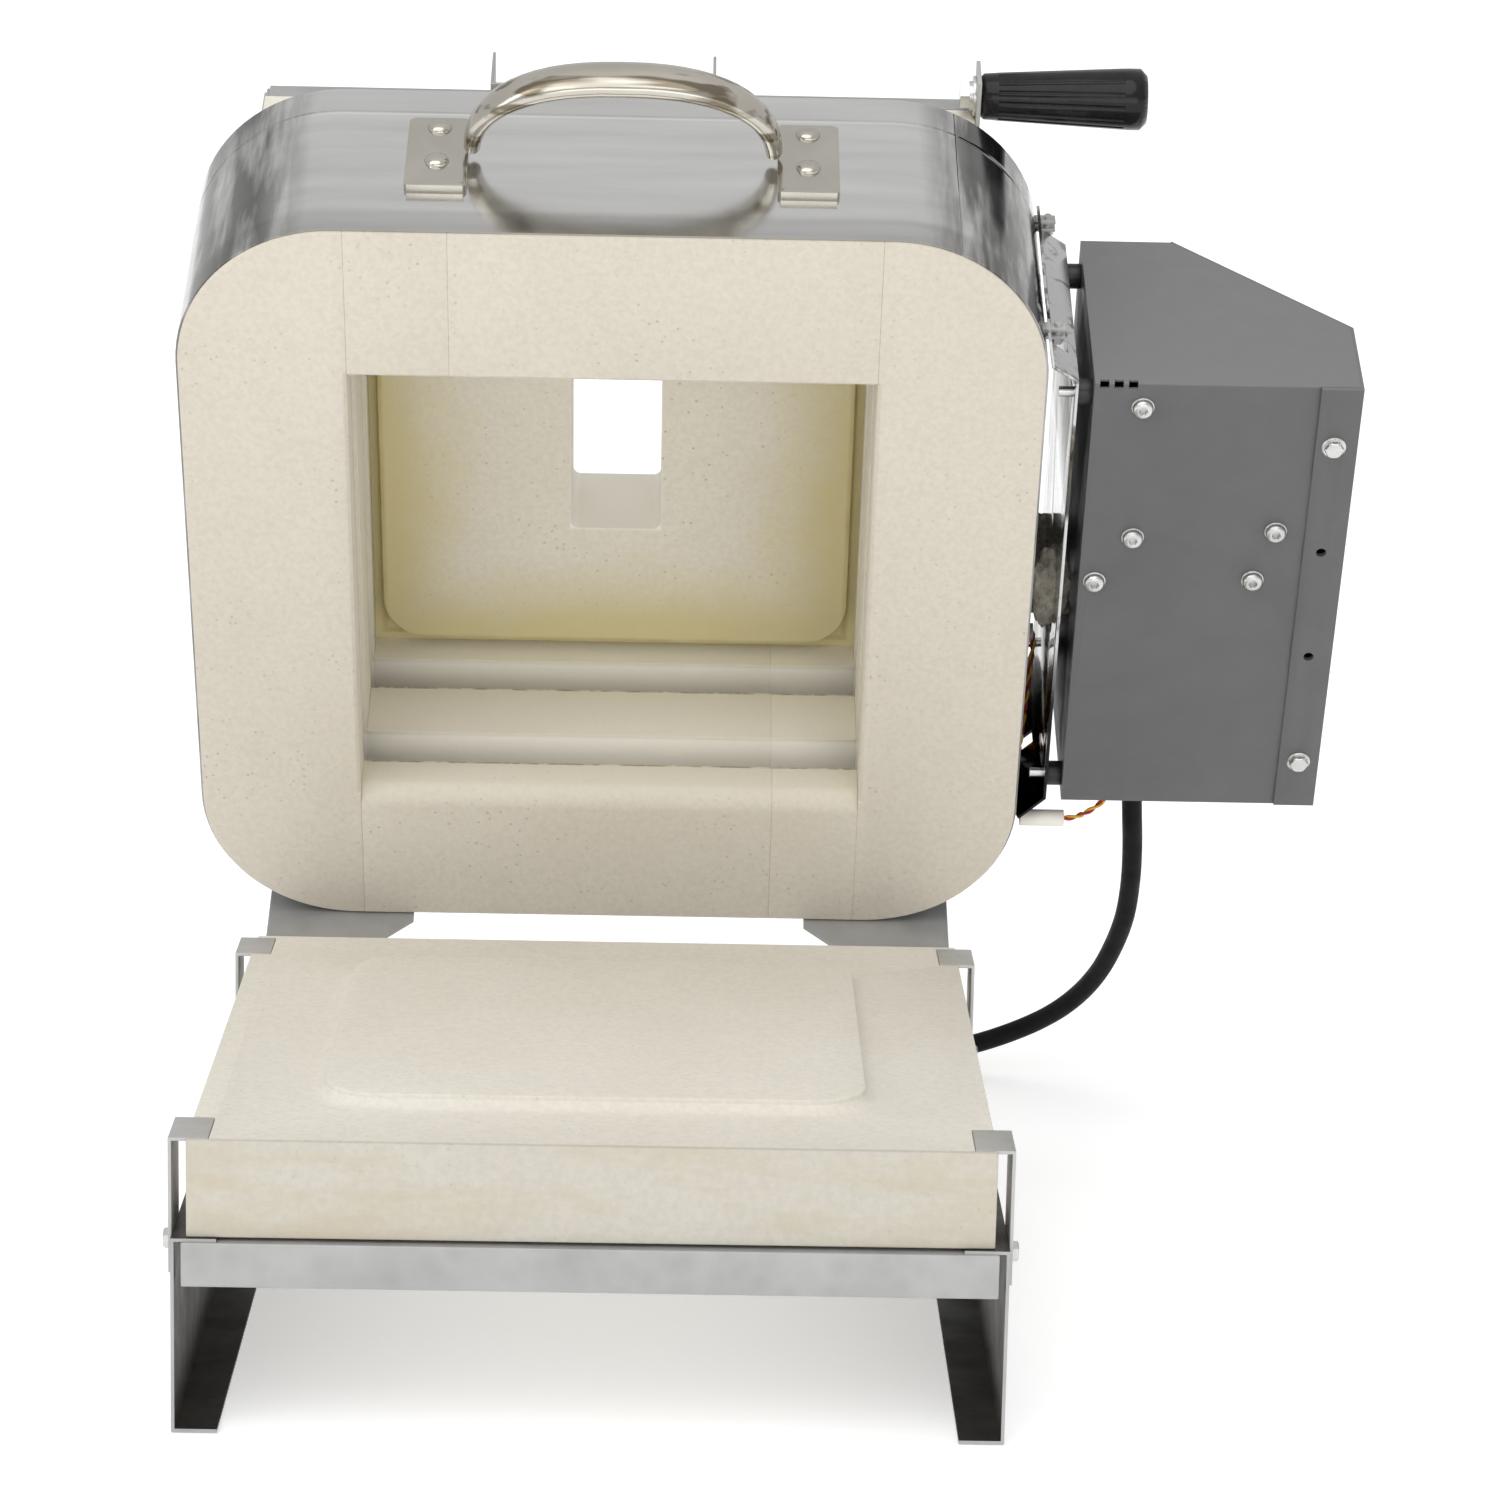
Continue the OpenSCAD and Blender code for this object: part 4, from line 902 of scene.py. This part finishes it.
def make_screws():
    box_x, box_low, box_high = 183.5, 66, 270
    right = 285
    heads = []
    for across, drop in ((19, 11), (19.5, 72), (75, 68), (6, 93.5), (68, 91.5)):
        heads.append(button_screw(f"screw_{across}", facing_front(box_x + across, box_high - drop, 0)))
    put_joined("box_screws", heads, 35, "bell", "zinc", "zinc", "panel_screws")
    heads = [
        hex_head(f"hex_{across}", facing_front(right - across, up, -1.2))
        for across, up in ((8, box_high - 27), (7, box_low + 23))
    ]
    put_joined("cover_hexes", heads, 35, "bell", "zinc", "zinc", "cover_screws")


# ------------------------------------------------------------------ sheet metal, handles and wires


def make_sheets():
    """Bent sheet: the jacket, the baffle and the box with softly rounded folds."""
    for node, name, kind, slot, bevel in (
        ("jacket", "jacket_sheet", "mirror", "stainless", 0.0),
        ("baffle", "baffle_sheet", "baffle", "stainless", 0.5),
        ("box_shell", "box_body", "box", "grey_paint", 1.1),
        ("box_cover", "box_lid", "box", "grey_paint", 0.5),
        ("front_rail", "rail_front", "galvanised", "rail", 0.5),
        ("rear_rail", "rail_rear", "galvanised", "rail", 0.5),
        ("base_clips", "floor_clips", "clip", "zinc", 0.4),
        ("vent_clips", "slab_clips", "clip", "zinc", 0.4),
        ("tie_brackets", "tie_straps", "clip", "zinc", 0.4),
        ("grip_bracket", "grip_ear", "clip", "zinc", 0.4),
        ("hinge_arm_left", "arm_left", "galvanised", "zinc", 0.35),
        ("hinge_arm_right", "arm_right", "galvanised", "zinc", 0.35),
        ("hinge_lug_left", "lug_left", "galvanised", "zinc", 0.4),
        ("hinge_lug_right", "lug_right", "galvanised", "zinc", 0.4),
        ("controller_bezel", "controller_frame", "bezel", "bezel", 0.5),
        ("vent_channel", "channel_back", "galvanised", "rail", 0.4),
        ("vent_side_rails", "slab_rails_side", "galvanised", "rail", 0.4),
        ("vent_end_rails", "slab_rails_end", "galvanised", "rail", 0.4),
        ("jacket_clamps", "clamp_ears", "clip", "zinc", 0.3),
        ("cord_gland", "gland", "plug", "plug", 0.5),
        ("thermocouple_sleeve", "sleeve", "ceramic", "ceramic", 0.3),
        ("baffle_spacers", "spacers", "black", "dark_steel", 0.4),
        ("hinge_pins", "pins", "zinc", "zinc", 0.4),
        ("grip_bolt", "grip_screw", "zinc", "zinc", 0.3),
    ):
        piece = copy_of(node, name, bevel, 3, 50)
        body = "stand" if node in frame["record"]["behaviour"]["bodies"]["stand"] else "bell"
        put(piece, body, kind, slot, node)


def make_handles():
    arch = copy_of("carry_handle", "handle_arch")
    smooth(arch, 70)
    put(arch, "bell", "nickel", "nickel", "carry_handle")
    for side in ("left", "right"):
        plate = copy_of(f"handle_plate_{side}", f"plate_{side}", 0.9, 4, 40)
        put(plate, "bell", "nickel", "nickel", f"handle_plate_{side}")
    rivets = []
    for x in (2.5 - 70.5, 2.5 + 70.5):
        for y in (47.5, 72):
            dome = [(0, 0), (4.7, 0), (4.6, 0.5), (4.1, 1.2), (3.0, 1.8), (1.5, 2.1), (0, 2.2)]
            rivets.append(spun(f"rivet_{x}_{y}", dome, bell_matrix(x, RING + JACKET + 2.4, y), 32))
    put_joined("rivet_heads", rivets, 50, "bell", "nickel", "nickel", "handle_rivets")
    grip = copy_of("lift_grip", "fluted_grip", 0.3, 2, 50)
    smooth(grip, 55)
    put(grip, "bell", "bakelite", "bakelite", "lift_grip")


def make_bolts():
    """Hexagon heads on the stand's sides and on the rear rail."""
    outer = HALF_SLAB + 6.4
    clip = HALF_SLAB - 3 - 12.5
    heads = []
    for side in (-1, 1):
        turn = Matrix.Rotation(math.radians(90 * side), 4, "Y")
        for y in (-clip, clip):
            at = Matrix.Translation(on_stand(side * outer, y, 65.5)) @ turn
            heads.append(hex_head(f"bolt_{side}_{y}", at, 3.8, 4.6))
        turn = Matrix.Rotation(math.radians(-90), 4, "X")
        at = Matrix.Translation(on_stand(side * (HALF_SLAB - 15.5), HALF_SLAB + 5.2, 61.8)) @ turn
        heads.append(hex_head(f"lug_bolt_{side}", at, 3.8, 4.6))
    put_joined("stand_bolts", heads, 35, "stand", "zinc", "zinc", "base_bolts")


def make_cement_lumps():
    """Cement pressed round the element leads by hand, squeezed out past the shield."""
    lumps = []
    for back, up, size in ((27, 154, (8.5, 9, 18)), (79.5, 140, (8, 9, 10))):
        bm = bmesh.new()
        bmesh.ops.create_icosphere(bm, subdivisions=5, radius=1)
        for vert in bm.verts:
            rough = noise.noise(vert.co * 2.2 + Vector((up, 0, 0))) * 0.22 + noise.noise(vert.co * 7) * 0.08
            flat = vert.co * (1 + rough)
            vert.co = Vector((max(flat.x, -0.98) * size[0], flat.y * size[1], flat.z * size[2])) * MM
        lumps.append(mesh_object(f"lump_{back}", bm, bell_matrix(HALF_RING + 9.3, up, back)))
    put_joined("cement_lumps", lumps, 60, "bell", "cement", "cement", "lead_bushings")


def pan_head(name, matrix, radius, height):
    """A low round screw head with its socket."""
    outline = [
        (0, 0), (radius, 0), (radius, height * 0.4), (radius * 0.86, height * 0.8), (radius * 0.6, height),
        (radius * 0.42, height), (radius * 0.38, height * 0.35), (0, height * 0.3),
    ]
    return spun(name, outline, matrix, 32)


def make_bell_screws():
    heads = []
    down = Matrix.Rotation(math.pi, 4, "X")
    outward = Matrix.Rotation(-math.pi / 2, 4, "X")
    for side in (-1, 1):
        sideways = Matrix.Rotation(side * math.pi / 2, 4, "Y")
        for back in (10, 36):
            at = bell_matrix(side * 92.7, -JACKET - 1.2, back) @ down
            heads.append(pan_head(f"arm_{side}_{back}", at, 3.4, 1.6))
        for up in (MID - 65, MID + 65):
            at = bell_matrix(side * (HALF_RING + JACKET + 1.2), up, RING_DEPTH - 12) @ sideways
            heads.append(pan_head(f"tie_{side}_{up}", at, 3.4, 2.0))
            at = bell_matrix(side * (HALF_SLAB + 1.2), up, 143) @ sideways
            heads.append(pan_head(f"slab_{side}_{up}", at, 3.0, 1.8))
    for across in (-40, 26):
        for up in (MID - HALF_SLAB + 8, MID + HALF_SLAB - 8):
            heads.append(pan_head(f"back_{across}_{up}", bell_matrix(across, up, 148.2) @ outward, 3.0, 1.8))
    put_joined("bell_screw_heads", heads, 35, "bell", "zinc", "zinc", "bell_screws")


SLOPE = math.atan2(59.5, 66)
SLOPE_ALONG = ACROSS * math.cos(SLOPE) - BACK * math.sin(SLOPE)
SLOPE_OUT = ACROSS * math.sin(SLOPE) + BACK * math.cos(SLOPE)


def on_slope(along, up, out):
    """A matrix on the box's sloped face, its Z pointing out and its Y up the box."""
    turn = Matrix((-SLOPE_ALONG, UP, SLOPE_OUT)).transposed().to_4x4()
    place = on_bell(252, up, 70.75) + (SLOPE_ALONG * along + SLOPE_OUT * out) * MM
    return Matrix.Translation(place) @ turn


def ring_frame(name, outer, inner, thick, matrix, soft=0.5):
    """A flat frame with a rectangular hole, its outer edge eased."""
    bm = bmesh.new()
    levels = []
    eased = tuple(v - 2 * soft for v in outer)
    for (w, h), z in ((inner, 0), (inner, thick), (eased, thick), (outer, thick - soft), (outer, 0)):
        corners = ((-1, -1), (1, -1), (1, 1), (-1, 1))
        levels.append([bm.verts.new((x * w / 2 * MM, y * h / 2 * MM, z * MM)) for x, y in corners])
    bridge(bm, [*levels, levels[0]])
    return mesh_object(name, bm, matrix)


WINDOW_UP = 218
LAMPS_UP = 230.5
KEYS_UP = 189
KEY_PITCH = 14
ARROW_R = 2.3
SWITCH_UP = 110


def make_controls():
    """Display window, key caps with their arrows, and the rocker in its surround."""
    window = rounded_box("display_window", (37.4, 19.4, 1.4), on_slope(0, WINDOW_UP, 2.2), 0.5, 2)
    put(window, "bell", "window", "bezel")
    lamp_dome = [(0, 0), (1.3, 0), (1.3, 0.4), (0.9, 0.9), (0, 1.1)]
    lamps = [spun(f"lamp_{x}", lamp_dome, on_slope(x, LAMPS_UP, 3.6), 20) for x in (-12, 0, 12)]
    put_joined("lamps", lamps, 60, "bell", "lamp", "bezel")
    arrows = {"key_up": 90, "key_down": 270, "key_start": 0}
    for place, (node, angle) in zip((-KEY_PITCH, 0, KEY_PITCH), arrows.items()):
        body = node.replace("key_", "") + "_key"
        cap = copy_of(node, node + "_cap", 0.8, 3, 40)
        put(cap, body, "key", "key", node)
        bm = bmesh.new()
        levels = []
        for z in (-0.3, 0.22):
            turns = [math.radians(angle + 120 * k) for k in range(3)]
            levels.append([
                bm.verts.new((ARROW_R * MM * math.cos(a), ARROW_R * MM * math.sin(a), z * MM)) for a in turns
            ])
            bm.faces.new(levels[-1])
        bridge(bm, levels)
        arrow = mesh_object(node + "_mark", bm, on_slope(place, KEYS_UP, 5.2))
        put(arrow, body, "mark", "key")
    rocker = copy_of("power_switch", "rocker_cap", 0.5, 3, 40)
    put(rocker, "rocker", "black_switch", "switch", "power_switch")
    surround = ring_frame("switch_surround", (19, 27.4), (14.5, 22.7), 1.5, on_slope(0, SWITCH_UP, 1.0))
    put(surround, "bell", "bezel", "bezel")


def around_groove(half, bend, steps=8):
    """A square with round corners, as (across, up) from the chamber's middle."""
    line = []
    for quarter in range(4):
        turn = math.pi / 2 * quarter
        for k in range(steps + 1):
            a = math.pi / 2 * k / steps
            x, y = half - bend + bend * math.cos(a), half - bend + bend * math.sin(a)
            line.append((x * math.cos(turn) - y * math.sin(turn), x * math.sin(turn) + y * math.cos(turn)))
    line.append(line[0])
    return line


GROOVE_HALF = 114.5
GROOVE_BEND = 13
COIL_R = 3.5
COIL_PITCH = 4.6
LEAD_UP = 140


def make_elements():
    """Coiled resistance wire laid round each groove, and its straight lead into the box."""
    for node, back in (("element_front", 30.0), ("element_rear", 79.5)):
        corners = [Vector((x, y, 0)) for x, y in around_groove(GROOVE_HALF, GROOVE_BEND)]
        points = []
        along = 0.0
        for a, b in zip(corners, corners[1:]):
            span = (b - a).length
            steps = max(1, int(span / 0.42))
            ahead = (b - a).normalized()
            side = Vector((ahead.y, -ahead.x, 0))
            for k in range(steps):
                at = a + (b - a) * (k / steps)
                turn = 2 * math.pi * (along + span * k / steps) / COIL_PITCH
                out = side * math.cos(turn) * COIL_R
                points.append(on_bell(at.x + out.x, MID + at.y + out.y, back + math.sin(turn) * COIL_R))
            along += span
        coil = tube(node.replace("element", "coil"), points, 0.85, 1)
        put(coil, "bell", "wire", "element", node)
        straight = [on_bell(across, LEAD_UP, back) for across in (114, 150, 191)]
        lead = tube(node.replace("element", "lead"), straight, 1.55, 3)
        put(lead, "bell", "wire", "element")


def make_leads():
    """The thermocouple's red and yellow wires, twisted together."""
    x = HALF_RING
    route = [
        (x + 6.4, 110, 55), (x + 7.4, 106, 54), (x + 6, 88, 48), (x + 5, 73, 45), (x + 4.2, 61, 44),
        (x + 3.4, 53.6, 39), (x + 2.6, 50.8, 32), (x + 2.2, 50, 13), (x + 4.6, 50, 8),
        (x + 12, 50, 8), (x + 21, 50, 8), (x + 26, 50.8, 8),
        (197, 53.6, 9), (202, 58, 10), (204.5, 62.6, 10), (205, 69, 10),
    ]
    centre = smooth_line([on_bell(a, up, back) for a, up, back in route], 10)
    wires = (("red_wire", "lead_red", "thermocouple_leads"), ("yellow_wire", "lead_yellow"))
    for k, (kind, name, *replaced) in enumerate(wires):
        points = []
        along = 0.0
        for i, point in enumerate(centre):
            ahead = (centre[min(i + 1, len(centre) - 1)] - centre[max(i - 1, 0)]).normalized()
            side = ahead.cross(ACROSS.cross(ahead) if abs(ahead.x) < 0.9 else UP).normalized()
            along += (point - centre[max(i - 1, 0)]).length / MM
            turn = 2 * math.pi * along / 11 + math.pi * k
            points.append(point + (side * math.cos(turn) + ahead.cross(side) * math.sin(turn)) * 0.62 * MM)
        wire = tube(name, points, 0.62, 2)
        put(wire, "bell", kind, "lead_wire", *replaced)


# ------------------------------------------------------------------ the CAD nodes that show


def dress_nodes():
    for node in ("thermocouple", "terminal_block"):
        dress(node, "ceramic")
    dress("baffle_screws", "zinc")
    dress("power_relay", "relay")
    dress("controller", "board")
    dress_side_frame("side_frame_left")
    dress_side_frame("side_frame_right")


def dress_side_frame(node):
    """The outside and the cut edges are bright, and the inside is dark."""
    mesh = dress(node, "dark", "galvanised")
    low, high = (v.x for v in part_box(node))
    centre = STAND.x
    outer = low if abs(low - centre) > abs(high - centre) else high
    for face in mesh.polygons:
        on_outside = all(abs(mesh.vertices[v].co.x - outer) < 0.0002 for v in face.vertices)
        on_edge = abs(face.normal.y) > 0.9
        face.material_index = 1 if on_outside or on_edge else 0


# ------------------------------------------------------------------ studio


def make_area(name, place, target, size, power):
    data = bpy.data.lights.new(name, "AREA")
    data.shape = "RECTANGLE"
    data.size, data.size_y = size
    data.energy = power
    light = bpy.data.objects.new(name, data)
    look = (Vector(target) - Vector(place)).to_track_quat("-Z", "Y")
    light.matrix_world = Matrix.Translation(place) @ look.to_matrix().to_4x4()
    bpy.context.scene.collection.objects.link(light)


def make_studio():
    bm = bmesh.new()
    bmesh.ops.create_grid(bm, x_segments=2, y_segments=2, size=25)
    floor = mesh_object("studio_floor", bm, Matrix.Translation((0, 10, -0.0004)))
    floor.data.materials.append(MATERIALS["floor"])
    world = bpy.data.worlds.new("studio")
    bpy.context.scene.world = world
    world.use_nodes = True
    tree = world.node_tree
    back = tree.nodes["Background"]
    place = tree.nodes.new("ShaderNodeTexCoord")
    split = tree.nodes.new("ShaderNodeSeparateXYZ")
    ramp = tree.nodes.new("ShaderNodeValToRGB")
    tree.links.new(place.outputs["Generated"], split.inputs["Vector"])
    tree.links.new(split.outputs["Z"], ramp.inputs["Fac"])
    tree.links.new(ramp.outputs["Color"], back.inputs["Color"])
    set_stops(ramp, ((0.0, 0.74), (0.25, 0.66), (0.6, 0.66), (0.85, 0.72), (1.0, 0.85)))
    back.inputs["Strength"].default_value = 1.0
    data = bpy.data.lights.new("front_sky", "SUN")
    data.energy = 1.0
    data.angle = math.radians(60)
    sun = bpy.data.objects.new("front_sky", data)
    aim = Vector((0.15, 0.60, -0.78)).to_track_quat("-Z", "Y")
    sun.matrix_world = Matrix.Translation((0, -2, 2)) @ aim.to_matrix().to_4x4()
    bpy.context.scene.collection.objects.link(sun)
    make_area("low_front", (0.4, -3.2, 0.5), (0, 0, 0.25), (3.0, 0.9), 10)
    make_area("strip", (-1.6, -1.2, 1.6), (0, 0, 0.35), (0.5, 1.6), 5)
    bpy.context.scene.view_settings.view_transform = "Standard"
    bpy.context.scene.view_settings.look = "None"


# ------------------------------------------------------------------ main

make_camera()
make_cord()
dress_nodes()
make_bricks()
make_screws()
make_sheets()
make_handles()
make_bolts()
make_cement_lumps()
make_bell_screws()
make_controls()
make_elements()
make_leads()
make_studio()
